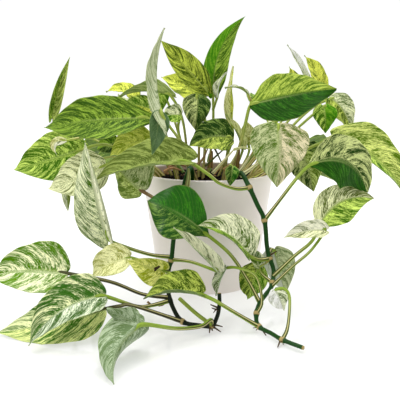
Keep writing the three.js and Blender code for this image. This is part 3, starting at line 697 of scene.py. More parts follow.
def stalk_skin():
    """The skin of stalks, stems, roots and dry sheaths."""
    skin = new_material("fresh_stalk_skin", "9DB04A")
    ground = add(skin, "ShaderNodeAttribute", out="Color", attribute_name="ground")
    seam = add(skin, "ShaderNodeAttribute", out="Color", attribute_name="marble")
    dry = add(skin, "ShaderNodeAttribute", out="Fac", attribute_name="share")
    grain = add(skin, "ShaderNodeAttribute", out="Vector", attribute_name="grain")
    streak = streaks(skin, grain, STALK_STREAK, 4)
    ragged = add(skin, "ShaderNodeMath", {0: streak, 1: SEAM_RAGGED, 2: -SEAM_RAGGED / 2},
                 operation="MULTIPLY_ADD")
    cover = add(skin, "ShaderNodeMath", {0: dry, 1: ragged}, operation="ADD", use_clamp=True)
    cover = add(skin, "ShaderNodeMapRange", {"Value": cover, "From Min": SEAM_FROM, "From Max": SEAM_TO,
                                             "To Max": SEAM_COVER})
    tone = add(skin, "ShaderNodeMapRange",
               {"Value": streak, "From Min": NOISE_LOW, "From Max": NOISE_HIGH,
                "To Min": STREAK_DARKEST, "To Max": STREAK_LIGHTEST})
    tinted = add(skin, "ShaderNodeVectorMath", {0: ground, "Scale": tone}, operation="SCALE")
    colour = add(skin, "ShaderNodeMix", {0: cover, 6: tinted, 7: seam}, data_type="RGBA")
    bump = add(skin, "ShaderNodeBump", {"Height": streak, "Strength": STALK_BUMP,
                                        "Distance": SKIN_RELIEF * MM})
    shader = add(skin, "ShaderNodeBsdfPrincipled",
                 {"Base Color": colour, "Roughness": STALK_ROUGHNESS, "IOR": STALK_IOR,
                  "Specular IOR Level": STALK_GLOSS, "Normal": bump})
    add(skin, "ShaderNodeOutputMaterial", {"Surface": shader})
    return skin


STALK_SKIN = stalk_skin()
print(STALK_SKIN.name, "nodes:", len(STALK_SKIN.node_tree.nodes))

# %% [markdown]
# The tables say where each leaf grows. The first line of a row is the stalk: where it starts and what
# it passes. The second is the blade: where it starts and ends, which way the upper face looks, how
# wide it is, how far the midrib bows to the face and bends to its right, and by how many degrees each
# half folds up. The right half is the one to the right of somebody who looks at the upper face with
# the tip up. A rule could scatter leaves, but these hang where the light drew them, so each is given
# one by one. First come the leaves of the two long stems.

# %% Where the trailing leaves grow
TRAIL_ROWS = {
    "trail_left_1": [(-35, -97, 55), [(-56, -92, 56), (-81, -86, 62)],
        (-97, -82, 68), (-119, -66, 161), (0.1, -0.98, 0.1), 50, 6, 0, (8, 78)],
    "trail_left_2": [(-35, -98, 53), [(-16, -114, 56)],
        (7, -120, 50), (-32, -118, 90), (0.5, -0.7, 0.5), 28, 4, -2, (60, 72)],
    "trail_left_3": [(-38, -117, 19), [(-53, -122, 17), (-66, -128, 19)],
        (-91, -140, 34), (-147, -178, 6), (-0.1, -0.72, 0.68), 46, 6, 9, (25, 20)],
    "trail_left_4": [(-38, -115, 22), [(-62, -112, 24), (-91, -112, 36)],
        (-131, -115, 46), (-204, -115, 41), (-0.1, -0.75, 0.65), 54, 6, 3, (20, 15)],
    "trail_left_5": [(-24, -130, 5), [(-67, -134, 22), (-79, -137, 23)],
        (-92, -140, 22), (-186, -146, 2), (0, -0.6, 0.8), 49, 4, -4, (3, 10)],
    "trail_left_6": [(2, -138, 5), [(1, -144, 13), (-8, -150, 10), (-28, -162, 14)],
        (-53, -182, 27), (-70, -226, 1.5), (0.2, 0.9, 0.3), 50, 4, -8, (35, 80)],
    "trail_left_7": [(-36, -99, 49), [(-56, -103, 52)],
        (-75, -104, 57), (-111, -98, 36), (-0.3, -0.85, 0.5), 33, 5, 2, (25, 25)],
    "trail_left_8": [(-38, -101, 43), [],
        (-42, -106, 45), (-75, -110, 56), (-0.2, -0.9, 0.4), 34, 3, 0, (10, 60)],
    "trail_right_1": [(46, -125, 21), [(35, -116, 40), (19, -108, 62)],
        (-4, -100, 80), (-57, -92, 109), (-0.1, -0.9, 0.4), 52, 8, 3, (5, 5)],
    "trail_right_2": [(58, -98, 54), [(46, -104, 55)],
        (36, -108, 62), (-11, -106, 88), (0, -0.8, 0.6), 46, 6, 6, (60, 5)],
    "trail_right_3": [(44, -140, 5), [(26, -140, 16), (15, -140, 23), (4, -140, 30)],
        (-8, -138, 35), (-58, -136, 29), (0, -0.7, 0.7), 40, 5, 3, (70, 10)],
    "trail_right_4": [(43, -132, 14), [(47, -132, 26), (42, -124, 46), (26, -119, 52)],
        (16, -110, 49), (7, -114, 23), (-0.7, -0.7, 0.1), 18, 2, 0, (60, 60)],
    "trail_right_5": [(60, -108, 40), [(80, -101, 57), (97, -96, 70)],
        (104, -95, 85), (155, -90, 110), (0.1, -0.8, 0.6), 38, 6, -9, (5, 5)],
    "trail_right_6": [(53, -89, 89), [(67, -90, 109), (83, -90, 131)],
        (94, -90, 142), (149, -88, 115), (0.1, -0.8, 0.6), 60, 6, -15, (5, 5)],
    "trail_right_7": [(39, -81, 119), [(26, -86, 119), (10, -90, 125), (0, -90, 133)],
        (-19, -86, 145), (-113, -72, 123), (0, -0.75, 0.66), 52, 4, 5, (52, 10)],
    "trail_right_8": [(61, -163, 4.2), [(66, -158, 14), (70, -140, 32), (66, -134, 38)],
        (58, -132, 36), (66, -134, 18), (0.1, -0.95, 0.2), 20, 2, 0, (20, 20)],
    "trail_right_9": [(57, -97, 57), [(60, -90, 60)],
        (64, -85, 58), (76, -86, 12), (0.2, 0.7, 0.2), 34, 3, 0, (10, 10)],
    "trail_right_10": [(59, -112, 35), [(50, -102, 40)],
        (47, -96, 46), (38, -90, 10), (-0.2, -0.9, 0.3), 30, 3, 0, (20, 20)],
    "trail_right_11": [(57, -115, 32), [(77, -112, 51), (94, -108, 65)],
        (107, -106, 84), (68, -108, 77), (0, -0.8, 0.6), 20, 3, 2, (20, 30)],
}
print("leaves of the long stems:", len(TRAIL_ROWS))

# %% [markdown]
# The crown's stalks stand in the soil, with their feet a few millimetres under its surface, and lean
# out to all sides. At the left they carry nineteen leaves, one of which, crown_left_15, grows from the
# left stem instead.

# %% Where the crown's left leaves grow
CROWN_LEFT_ROWS = {
    "crown_left_1": [(-44, 14, 110), [(-66, 12, 130), (-132, 8, 160)],
        (-173, 15, 181), (-151, 20, 247), (0.35, -0.9, 0.1), 24, 4, -2, (60, 60)],
    "crown_left_2": [(-30, -25, 110), [(-44, -32, 160)],
        (-61, -28, 182), (-166, -42, 173), (0, -0.8, 0.6), 58, 6, 0, (15, 5)],
    "crown_left_3": [(-38, 12, 110), [(-66, 14, 180)],
        (-79, 12, 202), (-112, 14, 209), (0, -0.6, 0.8), 28, 4, 4, (30, 10)],
    "crown_left_4": [(-20, 5, 110), [(-26, -10, 176)],
        (-38, -14, 205), (-95, -12, 203), (0, 0.5, 0.85), 26, 7, 0, (30, 30)],
    "crown_left_5": [(-8, -40, 110), [(-25, -56, 156)],
        (-42, -84, 184), (-40, -78, 265), (-0.9, -0.35, 0.1), 26, 4, -12, (20, 70)],
    "crown_left_6": [(-10, 0, 110), [(-8, -5, 180)],
        (-1, -8, 210), (-49, -12, 261), (-0.3, -0.8, 0.5), 30, 4, 0, (20, 10)],
    "crown_left_7": [(-5, 20, 110), [(-2, 16, 172)],
        (-9, 12, 204), (-51, 14, 225), (0, -0.8, 0.6), 34, 4, 0, (15, 15)],
    "crown_left_8": [(-18, 18, 110), [(-38, 26, 180), (-51, 29, 210)],
        (-55, 22, 215), (-52, 18, 186), (0, -0.8, 0.6), 26, 3, 0, (15, 15)],
    "crown_left_9": [(-12, -20, 110), [(-30, -24, 165)],
        (-28, -28, 186), (-47, -28, 184), (0, -0.8, 0.6), 22, 2, 0, (0, 45)],
    "crown_left_10": [(-5, -10, 110), [(-3, -14, 176)],
        (-11, -20, 204), (-13, -26, 169), (0, -0.9, 0.4), 30, 4, 0, (10, 10)],
    "crown_left_11": [(15, -30, 110), [(20, -35, 146)],
        (23, -38, 163), (-20, -44, 154), (0, -0.8, 0.6), 40, 6, 3, (10, 10)],
    "crown_left_12": [(-50, 0, 110), [(-102, -15, 152)],
        (-137, -18, 148), (-206, -25, 128), (0, -0.95, 0.3), 54, 4, -1, (5, 15)],
    "crown_left_13": [(-48, 10, 110), [(-104, 2, 150)],
        (-135, 2, 148), (-170, 0, 147), (0, -0.7, 0.7), 26, 3, 0, (20, 20)],
    "crown_left_14": [(-45, -25, 110), [(-57, -34, 129), (-82, -50, 142)],
        (-103, -57, 137), (-161, -56, 113), (-0.1, -0.85, 0.5), 46, 4, -3, (5, 20)],
    "crown_left_15": [(-29, -90, 98), [(-46, -84, 106)],
        (-65, -74, 115), (-94, -62, 141), (0, -0.95, 0.3), 52, 3, 0, (-45, 0)],
    "crown_left_16": [(-30, -10, 110), [(-46, -14, 150)],
        (-62, -16, 159), (-104, -22, 142), (0, -0.8, 0.6), 38, 3, 3, (10, 10)],
    "crown_left_17": [(-42, 5, 110), [(-84, 2, 150)],
        (-98, -4, 156), (-121, -8, 147), (0, -0.9, 0.4), 24, 2, 0, (10, 10)],
    "crown_left_18": [(-32, 20, 110), [(-48, 12, 168)],
        (-57, -8, 190), (-91, -10, 197), (0, -0.8, 0.6), 28, 3, 0, (10, 10)],
    "crown_left_19": [(-48, 3, 110), [(-68, 1, 131), (-112, 0, 138)],
        (-157, -2, 116), (-156, -4, 76), (0, -0.95, 0.3), 12, 2, 0, (20, 20)],
}
print("leaves of the crown's left:", len(CROWN_LEFT_ROWS))

# %% [markdown]
# Four leaves stand in the middle of the crown and eleven at its right. For one view they could all lie
# in a plane, but the plant is looked at from all sides, so each has its own distance from the front.

# %% Where the crown's other leaves grow
CROWN_RIGHT_ROWS = {
    "crown_mid_1": [(0, 10, 110), [(6, 5, 170)],
        (6, 0, 209), (40, 5, 287), (0.3, -0.9, 0.3), 27, 4, -11, (10, 15)],
    "crown_mid_2": [(10, 5, 110), [(27, 0, 155)],
        (26, -4, 175), (27, -4, 236), (-0.6, -0.8, 0.2), 14, 3, 0, (40, 40)],
    "crown_mid_3": [(24, -10, 110), [(36, -11, 141)],
        (38, -12, 150), (19, -14, 186), (0.6, -0.7, 0.3), 14, 2, 0, (50, 50)],
    "crown_mid_4": [(30, 10, 110), [(46, 12, 140)],
        (46, 12, 153), (43, 12, 178), (0, -0.9, 0.4), 22, 2, 0, (10, 10)],
    "crown_right_1": [(20, -30, 110), [(34, -32, 158), (38, -38, 178)],
        (42, -44, 196), (123, -60, 211), (0, -0.8, 0.6), 54, 4, 1, (5, 0)],
    "crown_right_2": [(36, -42, 110), [(52, -54, 146), (59, -63, 168)],
        (66, -69, 178), (65, -80, 119), (-0.05, -0.95, 0.3), 59, 3, 0, (5, 25)],
    "crown_right_3": [(35, 20, 110), [(95, 25, 180)],
        (126, 28, 209), (108, 30, 249), (0.2, -0.85, 0.5), 24, 4, 3, (20, 20)],
    "crown_right_4": [(35, 26, 110), [(88, 36, 178)],
        (115, 40, 220), (91, 44, 262), (0.3, -0.9, 0.3), 12, 3, 0, (40, 40)],
    "crown_right_5": [(41, 3, 110), [(102, 2, 182)],
        (133, 3, 202), (155, -4, 165), (0.1, -0.9, 0.4), 31, 4, -3, (10, 15)],
    "crown_right_6": [(40, -4, 110), [(92, -16, 168)],
        (122, -14, 194), (124, -18, 166), (0, -0.9, 0.4), 26, 3, 0, (10, 10)],
    "crown_right_7": [(44, -17, 110), [(96, -26, 146)],
        (131, -34, 162), (202, -60, 100), (0.1, -0.85, 0.5), 60, 8, -6, (10, 50)],
    "crown_right_8": [(40, -30, 110), [(54, -38, 130), (84, -50, 138), (86, -52, 146)],
        (94, -52, 147), (105, -58, 111), (0, -0.9, 0.4), 34, 3, 0, (10, 10)],
    "crown_right_9": [(42, -10, 110), [(84, -12, 146)],
        (121, -14, 149), (99, -18, 137), (0, -0.9, 0.4), 24, 2, 0, (10, 10)],
    "crown_right_10": [(14, -56, 110), [(20, -66, 136)],
        (23, -76, 138), (20, -81, 120), (0, -0.95, 0.3), 14, 2, 0, (20, 20)],
    "crown_right_11": [(30, 3, 110), [(72, 10, 176)],
        (98, 12, 209), (89, 14, 236), (0.2, -0.85, 0.5), 16, 2, 0, (20, 20)],
}
print("leaves of the crown's middle and right:", len(CROWN_RIGHT_ROWS))

# %% [markdown]
# A leaf's number in the list is also the seed of its marbling, so the order of the rows matters. Some
# blades are widest nearer to or further from the base than most, or have other lobes there.

# %% The list of leaves
LEAF_FIELDS = ("root", "via", "base", "tip", "face", "width", "bow", "bend", "fold")
OWN_SHAPE = {
    "trail_left_3": {"lobe": 0.03}, "trail_left_4": {"lobe": 0.05}, "trail_left_5": {"lobe": 0.02},
    "trail_left_6": {"belly": 0.15}, "trail_right_1": {"belly": 0.5},
    "trail_right_5": {"belly": 0.4, "lobe": 0.02}, "trail_right_6": {"belly": 0.5, "lobe": 0.03},
    "crown_left_2": {"belly": 0.45}, "crown_left_5": {"lobe": 0.22}, "crown_left_6": {"belly": 0.35},
    "crown_left_14": {"lobe": 0.06}, "crown_right_1": {"belly": 0.4, "lobe": 0.02},
    "crown_right_2": {"lobe": 0.04},
}
LEAVES = []
for rows in (TRAIL_ROWS, CROWN_LEFT_ROWS, CROWN_RIGHT_ROWS):
    for leaf_name, row in rows.items():
        LEAVES.append({"name": leaf_name, **dict(zip(LEAF_FIELDS, row)), **OWN_SHAPE.get(leaf_name, {})})
print("leaves with a place of their own:", len(LEAVES))

# %% [markdown]
# Each leaf names a look for its left and for its right half. They could be drawn at random, but then
# the plant would be another one. So they are given leaf by leaf.

# %% The look of each half
LEAF_LOOKS = {
    "trail_left_1": ("snow", "cream"), "trail_left_2": ("silver", "cream"),
    "trail_left_3": ("frosted", "inked"), "trail_left_4": ("cloud", "drift"),
    "trail_left_5": ("acid", "sharp"), "trail_left_6": ("steel", "steel"),
    "trail_left_7": ("butter", "butter"), "trail_left_8": ("yellow", "yellow"),
    "trail_right_1": ("deep", "smooth"), "trail_right_2": ("green", "milk"),
    "trail_right_3": ("dark", "marbled"), "trail_right_4": ("steel", "silver"),
    "trail_right_5": ("pale", "bright"), "trail_right_6": ("veiled", "solid"),
    "trail_right_7": ("grey", "grey"), "trail_right_8": ("silver", "white"),
    "trail_right_9": ("white", "mottled"), "trail_right_10": ("bright", "marbled"),
    "trail_right_11": ("pale", "cream"),
    "crown_left_1": ("bright", "straw"), "crown_left_2": ("meadow", "meadow"),
    "crown_left_3": ("lime", "lime"), "crown_left_4": ("olive", "marbled"),
    "crown_left_5": ("silver", "milk"), "crown_left_6": ("moss", "moss"),
    "crown_left_7": ("lime", "lime"), "crown_left_8": ("bright", "bright"),
    "crown_left_9": ("bright", "mottled"), "crown_left_10": ("dark", "veiled"),
    "crown_left_11": ("marbled", "dark"), "crown_left_12": ("bright", "bright"),
    "crown_left_13": ("green", "bright"), "crown_left_14": ("pale", "pale"),
    "crown_left_15": ("olive", "sage"), "crown_left_16": ("amber", "amber"),
    "crown_left_17": ("dark", "green"), "crown_left_18": ("lime", "bright"),
    "crown_left_19": ("grey", "silver"),
    "crown_mid_1": ("fresh", "green"), "crown_mid_2": ("butter", "lime"),
    "crown_mid_3": ("olive", "butter"), "crown_mid_4": ("butter", "butter"),
    "crown_right_1": ("grass", "solid"), "crown_right_2": ("blush", "sage"),
    "crown_right_3": ("lime", "lime"), "crown_right_4": ("silver", "white"),
    "crown_right_5": ("mottled", "marbled"), "crown_right_6": ("fresh", "bright"),
    "crown_right_7": ("straw", "bright"), "crown_right_8": ("olive", "veiled"),
    "crown_right_9": ("deep", "dark"), "crown_right_10": ("deep", "dark"),
    "crown_right_11": ("lime", "lime"),
}
print("leaves with looks:", len(LEAF_LOOKS))

# %% [markdown]
# The record has three leaf finishes, green, dark and pale, and a leaf has one of them there. A stalk
# has a skin and a seam colour. The crown's stalks are olive with brown seams, those of the long stems
# are greener with nearly black ones, and three have dried black or brown all round. A few sets of
# names are the shortest way to say which leaf has which.

# %% Finish and stalk of each leaf
DARK_LEAVES = {"trail_right_1", "trail_right_6", "crown_left_9", "crown_left_10", "crown_left_11",
               "crown_right_9", "crown_right_10", "crown_left_17", "crown_left_19"}
PALE_LEAVES = {"trail_left_1", "trail_left_2", "trail_left_4", "trail_left_6", "trail_left_7",
               "trail_left_8", "trail_right_2", "trail_right_4", "trail_right_5", "trail_right_8",
               "trail_right_11", "crown_left_14", "crown_right_2", "crown_right_5", "crown_mid_2",
               "crown_mid_4", "crown_right_4", "crown_left_1"}
SHINY_LEAVES = {"trail_right_1", "trail_left_6", "crown_left_5", "trail_left_3", "trail_right_11",
                "crown_right_9", "trail_right_9"}
STALK_TONES = {
    "crown": ("9DB04A", "A08450"),
    "trail": ("86A036", "1A0E06"),
    "black": ("4A4A2A", "120C08"),
    "brown": ("7E6240", "2E1A0E"),
}
DRY_STALKS = {"trail_left_4": "black", "trail_left_5": "black", "crown_left_15": "brown"}


def slot_of(name):
    """The record's slot for a leaf."""
    if name in DARK_LEAVES:
        return "leaf_dark"
    return "leaf_pale" if name in PALE_LEAVES else "leaf_green"


def tone_of(name):
    """The colours of a leaf's stalk, by the part of the plant where it grows."""
    return STALK_TONES[DRY_STALKS.get(name, name.split("_")[0])]


print("dark:", len(DARK_LEAVES), "pale:", len(PALE_LEAVES), "shiny:", len(SHINY_LEAVES))

# %% [markdown]
# Now each leaf is one piece: its blade and its stalk. It stands for the frame's plain leaf of the
# same name. Two leaves also have a basal lobe that hangs free of the blade's own plane. The formula
# can't fold a blade that far, so the lobe is made as a short blade of its own.

# %% Leaves of the crown and the trailing stems
LOBE_SEED = 80
LOBES = {
    "crown_left_5": ("dusk", {
        "base": [-46, -83, 192], "tip": [-52.9, -86, 151], "face": [0.3, -0.9, 0.1],
        "width": 21, "bow": 2, "bend": -1, "fold": [5, 30], "belly": 0.3, "lobe": 0}),
    "trail_left_6": ("steel", {
        "base": [-55, -181, 26], "tip": [-82, -181, 40], "face": [-0.2, 0.9, 0.3],
        "width": 22, "bow": 2, "bend": 2, "fold": [10, 10], "belly": 0.35, "lobe": 0}),
}

leaf_faces = 0
for number, leaf in enumerate(LEAVES):
    leaf_name = leaf["name"]
    blade = blade_data(leaf, LEAF_LOOKS[leaf_name], number + 1)
    stalk = stalk_data(leaf, tone_of(leaf_name), number + 1)
    parts = [(*blade, 0), (*stalk, 1)]
    if leaf_name in LOBES:
        look, row = LOBES[leaf_name]
        parts.append((*blade_data(row, (look, look), number + LOBE_SEED), 0))
    skin = SHINY_LEAF_SKIN if leaf_name in SHINY_LEAVES else LEAF_SKIN
    piece = make_piece(leaf_name + "_leaf", parts, [skin, STALK_SKIN])
    place_piece(piece, slot_of(leaf_name), leaf_name)
    leaf_faces += len(piece.data.polygons)
print("leaf pieces:", len(LEAVES), "faces:", leaf_faces)

# %% [markdown]
# The plant also carries young leaves that are still rolled, and old ones that have half dried: a cream
# curl at the left, a thin arched one beside the large leaf at the right, a rolled one in the middle,
# and a small cream one low on the right stem. They are too slight for the frame. Each could be a sheet
# that is bent by hand, but a narrow blade with steep folds looks the same. The arched one touches
# nothing: it ends 1.4 mm short of crown_right_1, which is a known fault.

# %% Young and curled leaves
SMALL_LEAVES = [
    ("cream_curl", ("cream", "butter"), [(-120, -52, 165), [],
        (-137, -70, 163), (-146, -70, 149), (0, -1, 0.2), 9, 2, 7, (25, 25)]),
    ("arched_leaf", ("grey", "silver"), [(42, -44, 200), [],
        (39, -47, 207), (16, -48, 212), (0, -0.5, 0.9), 4, 4, 0, (50, 50)]),
    ("rolled_leaf", ("silver", "white"), [(6, 4, 190), [],
        (10, -14, 205), (20, -18, 229), (-0.6, -0.8, 0.2), 11, 2, -2, (60, 60)]),
    ("low_cream_leaf", ("sage", "snow"), [(57, -99, 53), [],
        (48, -101, 47), (34, -101, 64), (0.2, -0.9, 0.4), 15, 2, 2, (20, 20)]),
]
SMALL_SEED = 140
small_parts = []
for number, (_, looks, row) in enumerate(SMALL_LEAVES):
    leaf = dict(zip(LEAF_FIELDS, row))
    small_parts.append((*blade_data(leaf, looks, SMALL_SEED + number), 0))
    small_parts.append((*stalk_data(leaf, STALK_TONES["crown"], SMALL_SEED + number), 1))
small_leaves = make_piece("small_leaves", small_parts, [LEAF_SKIN, STALK_SKIN])
place_piece(small_leaves, "leaf_pale")
print("small leaves:", ", ".join(row[0] for row in SMALL_LEAVES))

# %% [markdown]
# A trailing stem is a smooth rod that swells at each joint, where it has a tan ring, the scar of the
# sheath that once wrapped it. Short brown aerial roots stand off some joints. The left stem's lower
# part, which lies on the surface, has turned nearly black. Two materials would meet in a hard line, so
# each point gets a colour between the fresh and the old one.

# %% Skin of stems and roots
STEM_TONE = ("16420E", "B8A068")
BACK_STEM_TONE = ("5E7A34", "8E7A4A")
ROOT_TONE = ("2A1E14", "5A4428")
OLD_SKIN = "0A0D06"
STEM_AROUND, STEM_STEP = 3, 71.0


def stem_values(places, angles, rings, seed, tone, age=0.0):
    """Values for a rod; age, one number or one for each point, turns the skin from tone to black."""
    count = len(places)
    fresh, old = np.array(linear(tone[0])), np.array(linear(OLD_SKIN))
    age = np.full(count, age) if np.isscalar(age) else age
    return {
        "ground": fresh + (old - fresh) * age[:, None],
        "marble": np.tile(linear(tone[1]), (count, 1)),
        "share": rings,
        "grain": np.stack([places, angles * STEM_AROUND, np.full(count, STEM_STEP * seed)], 1),
    }


print("stem, back stem and root:", STEM_TONE[0], BACK_STEM_TONE[0], ROOT_TONE[0])

# %% [markdown]
# More of the roots stand off a joint as a tuft, in any direction but mostly to the front. A particle
# system could spread them, but a few random lines are lighter and stay put. The seed is fixed, so they
# are the same on each run.

# %% Tufts of aerial roots
ABOVE_BOARD = 0.8


def tuft(centre, count, reach, seed):
    """Short dry aerial roots that spread from a joint, as starts and ends; none dips below the board."""
    draw = random.Random(seed)
    roots = []
    for _ in range(count):
        way = unit(np.array([draw.uniform(-1, 1), draw.uniform(-1, 0.6), draw.uniform(-0.8, 0.5)]))
        end = np.array(centre) + way * reach * draw.uniform(0.6, 1)
        end[2] = max(end[2], ABOVE_BOARD)
        roots.append([list(centre), end.tolist()])
    return roots


TUFTS = {
    "stem_left": tuft((2, -138, 5), 12, 5.5, 3) + tuft((6, -135, 19), 6, 4.5, 4),
    "stem_right": (tuft((57, -98, 55), 3, 6, 5) + tuft((44, -141, 5), 3, 6, 6)
                   + tuft((61, -163, 4), 3, 6, 7)),
}
print("aerial roots in tufts:", {name: len(roots) for name, roots in TUFTS.items()})

# %% [markdown]
# One function gives a stem's rod and its roots, for the long stems and for those at the back. Joints
# could be beads on the rod, but real ones flow into it. So the radius swells in bell curves of a few
# millimetres, and the tan rings are narrower bells at the same places.

# %% A stem with its roots
STEM_RADIUS, STEM_TAPER, STEM_SIDES, STEM_STEPS = 2.4, 0.74, 16, 14
JOINT_SWELL, JOINT_REACH, RING_REACH = 1.0, 2.6, 1.6
END_RING, END_THIN = 0.9, 0.9
AGED_BELOW, AGED_OVER, MOST_AGED = 50, 25, 0.9
ROOT_FOOT, ROOT_END, ROOT_SIDES, ROOT_STEPS = 1.05, 0.45, 8, 6
ROOT_SEAM = 0.5
TUFT_THIN = 0.7


def stem_parts(row, seed, tone=STEM_TONE, aged=False, tufts=()):
    """A stem with swollen, ringed joints, as a list of parts for one piece."""
    line = smooth_line(row["line"], STEM_STEPS)
    radius = np.linspace(STEM_RADIUS, STEM_TAPER * STEM_RADIUS, len(line))
    rings = np.zeros(len(line))
    for joint in row.get("joints", []):
        away = np.linalg.norm(line - np.array(joint), axis=1)
        radius += JOINT_SWELL * np.exp(-(away / JOINT_REACH) ** 2)
        rings += np.exp(-(away / RING_REACH) ** 2)
    rings[-1] = END_RING
    radius[-1] *= END_THIN
    points, faces, places, angles = rod_data(line, radius, STEM_SIDES)
    rings = np.repeat(np.clip(rings, 0, 1), STEM_SIDES)
    age = np.clip((AGED_BELOW - points[:, 2]) / AGED_OVER, 0, MOST_AGED) if aged else 0.0
    parts = [(points, faces, stem_values(places, angles, rings, seed, tone, age), 0)]
    roots = [(ends, 1.0) for ends in row.get("rootlets", [])] + [(ends, TUFT_THIN) for ends in tufts]
    for number, (ends, thick) in enumerate(roots):
        root_line = smooth_line(ends, ROOT_STEPS)
        taper = thick * np.linspace(ROOT_FOOT, ROOT_END, len(root_line))
        points, faces, places, angles = rod_data(root_line, taper, ROOT_SIDES)
        seams = np.full(len(places), ROOT_SEAM)
        values = stem_values(places, angles, seams, seed + number + 1, ROOT_TONE)
        parts.append((points, faces, values, 0))
    return parts


print("stem thickness:", 2 * STEM_RADIUS, "mm, thinner towards its end")

# %% [markdown]
# Two long stems leave the soil, lean on the rim and run down to the surface. Each is a line of points,
# with the joints from which its leaves grow and a few aerial roots, from start to end. They could be
# drawn anew here, but the frame's stems follow the same points, which keeps the stalks on them.

# %% Where the stems run
STEMS = {
    "stem_left": {
        "line": [(-18, -42, 109), (-16, -54, 128), (-18, -68, 136), (-22, -80, 126), (-29, -89, 99),
            (-33, -95, 74), (-35, -98, 55), (-38, -101, 42), (-38, -110, 27), (-33, -120, 14),
            (-24, -130, 5), (-9, -136, 4.2), (2, -138, 5), (7, -137, 13), (9, -134, 23), (9, -131, 33)],
        "joints": [(-35, -98, 52), (-38, -117, 19), (-24, -130, 5), (2, -138, 5)],
        "rootlets": [[(8, -134, 20), (1, -136, 24)], [(2, -138, 5), (10, -144, 2)],
            [(4, -138, 6), (12, -134, 2)], [(1, -138, 5), (0, -146, 2)]],
    },
    "stem_right": {
        "line": [(24, -38, 109), (28, -52, 124), (32, -68, 131), (38, -80, 121), (46, -86, 104),
            (53, -89, 89), (55, -95, 67), (57, -97, 56), (61, -103, 44), (58, -114, 33), (52, -120, 27),
            (45, -127, 20), (42, -134, 11), (44, -140, 5), (53, -151, 4.2), (61, -163, 4.2),
            (76, -177, 4.2)],
        "joints": [(39, -81, 119), (53, -89, 89), (58, -98, 54), (59, -112, 35), (43, -132, 14),
            (44, -140, 5), (61, -163, 4.2)],
        "rootlets": [[(45, -140, 5), (49, -149, 1.2)], [(60, -161, 4), (56, -170, 1.2)],
            [(57, -97, 56), (64, -100, 62)]],
    },
}

# %% [markdown]
# Both long stems are made, and each stands for the frame's plain one. A leafless stalk also grows from
# the left stem's last joint. It could be a piece of its own, but it is one with the stem.

# %% The two long stems
BARE_STALK = [(1, -135, 5), (-13, -132, 15), (-27, -122, 24)]
BARE_RADIUS, BARE_SIDES, BARE_SEED = 1.9, 12, 33
STEM_SEEDS = {"stem_left": 5, "stem_right": 15}

for stem_name, row in STEMS.items():
    left = stem_name == "stem_left"
    parts = stem_parts(row, STEM_SEEDS[stem_name], aged=left, tufts=TUFTS[stem_name])
    if left:
        bare = smooth_line(BARE_STALK, STALK_STEPS)
        thickness = np.full(len(bare), BARE_RADIUS)
        points, faces, places, angles = rod_data(bare, thickness, BARE_SIDES, STALK_GROOVE)
        values = stem_values(places, angles, np.zeros(len(places)), BARE_SEED, STALK_TONES["crown"])
        parts.append((points, faces, values, 0))
    piece = make_piece(stem_name + "_rod", parts, [STALK_SKIN])
    place_piece(piece, "stem", stem_name)
    print(piece.name, "faces:", len(piece.data.polygons))

# %% [markdown]
# Three shorter leafy stems stand behind the crown and fill out the back, which the photo doesn't show.
# So their leaves are plain ones. Copies of a single leaf would do, but copies are easily seen, so a row
# gives the stalk's start, the blade's base and tip, its face and its width. Looks are taken in turn.

# %% Where the back sprays stand
SPRAY_FIELDS = ("root", "base", "tip", "face", "width")
SPRAY_LEAF = {"via": [], "bow": 8, "bend": 0, "fold": (12, 12)}
SPRAY_LOOKS = [("green", "marbled"), ("bright", "green"), ("mottled", "moss"), ("green", "dark"),
               ("marbled", "green")]
SPRAYS = {
    "spray_back_left": {
        "line": [(-22, 28, 109), (-50, 42, 142), (-78, 60, 152)],
        "leaves": [
            ((-50, 42, 142), (-88, 48, 165), (-160, 62, 178), (0, -0.2, 0.98), 54),
            ((-50, 42, 142), (-84, 60, 138), (-150, 90, 100), (-0.3, 0.5, 0.8), 54),
            ((-78, 60, 152), (-80, 75, 182), (-118, 135, 200), (-0.2, 0.6, 0.8), 48),
            ((-78, 60, 152), (-112, 80, 150), (-165, 120, 112), (-0.4, 0.6, 0.7), 54),
            ((-78, 60, 152), (-66, 90, 140), (-88, 140, 92), (0.1, 0.85, 0.5), 52),
        ],
    },
    "spray_back_middle": {
        "line": [(2, 40, 109), (5, 58, 130), (4, 76, 132), (2, 84, 118), (1, 88, 90), (0, 90, 55)],
        "leaves": [
            ((2, 84, 118), (-14, 96, 112), (-50, 118, 74), (-0.2, 0.8, 0.5), 46),
            ((1, 88, 90), (-16, 100, 76), (-40, 116, 12), (-0.2, 0.95, 0.2), 50),
            ((1, 88, 90), (22, 98, 92), (60, 116, 50), (0.2, 0.85, 0.4), 50),
            ((0, 90, 55), (16, 100, 46), (34, 116, 4), (0.2, 0.95, 0.2), 40),
            ((0, 90, 55), (-4, 108, 30), (-20, 164, 5), (0, 0.3, 0.95), 46),
        ],
    },
    "spray_back_right": {
        "line": [(36, 42, 109), (60, 50, 138), (86, 60, 150)],
        "leaves": [
            ((60, 50, 138), (84, 66, 174), (142, 94, 196), (0.2, 0.2, 0.95), 50),
            ((86, 60, 150), (92, 76, 154), (94, 114, 106), (0, 0.85, 0.4), 50),
            ((86, 60, 150), (122, 64, 120), (176, 90, 90), (0.3, 0.5, 0.8), 52),
            ((86, 60, 150), (74, 84, 182), (64, 132, 204), (0, 0.6, 0.8), 46),
            ((86, 60, 150), (120, 88, 144), (164, 134, 122), (0.2, 0.7, 0.6), 50),
        ],
    },
}
print("leaves of the sprays:", sum(len(row["leaves"]) for row in SPRAYS.values()))

# %% [markdown]
# The three leafy stems at the back carry their leaves in one piece each, as they do in the frame. The
# stem's own values lack the three that only a blade has, so they are filled with zeros.

# %% Sprays behind the crown
BACK_STEM_SEED, SPRAY_SEED = 40, 100

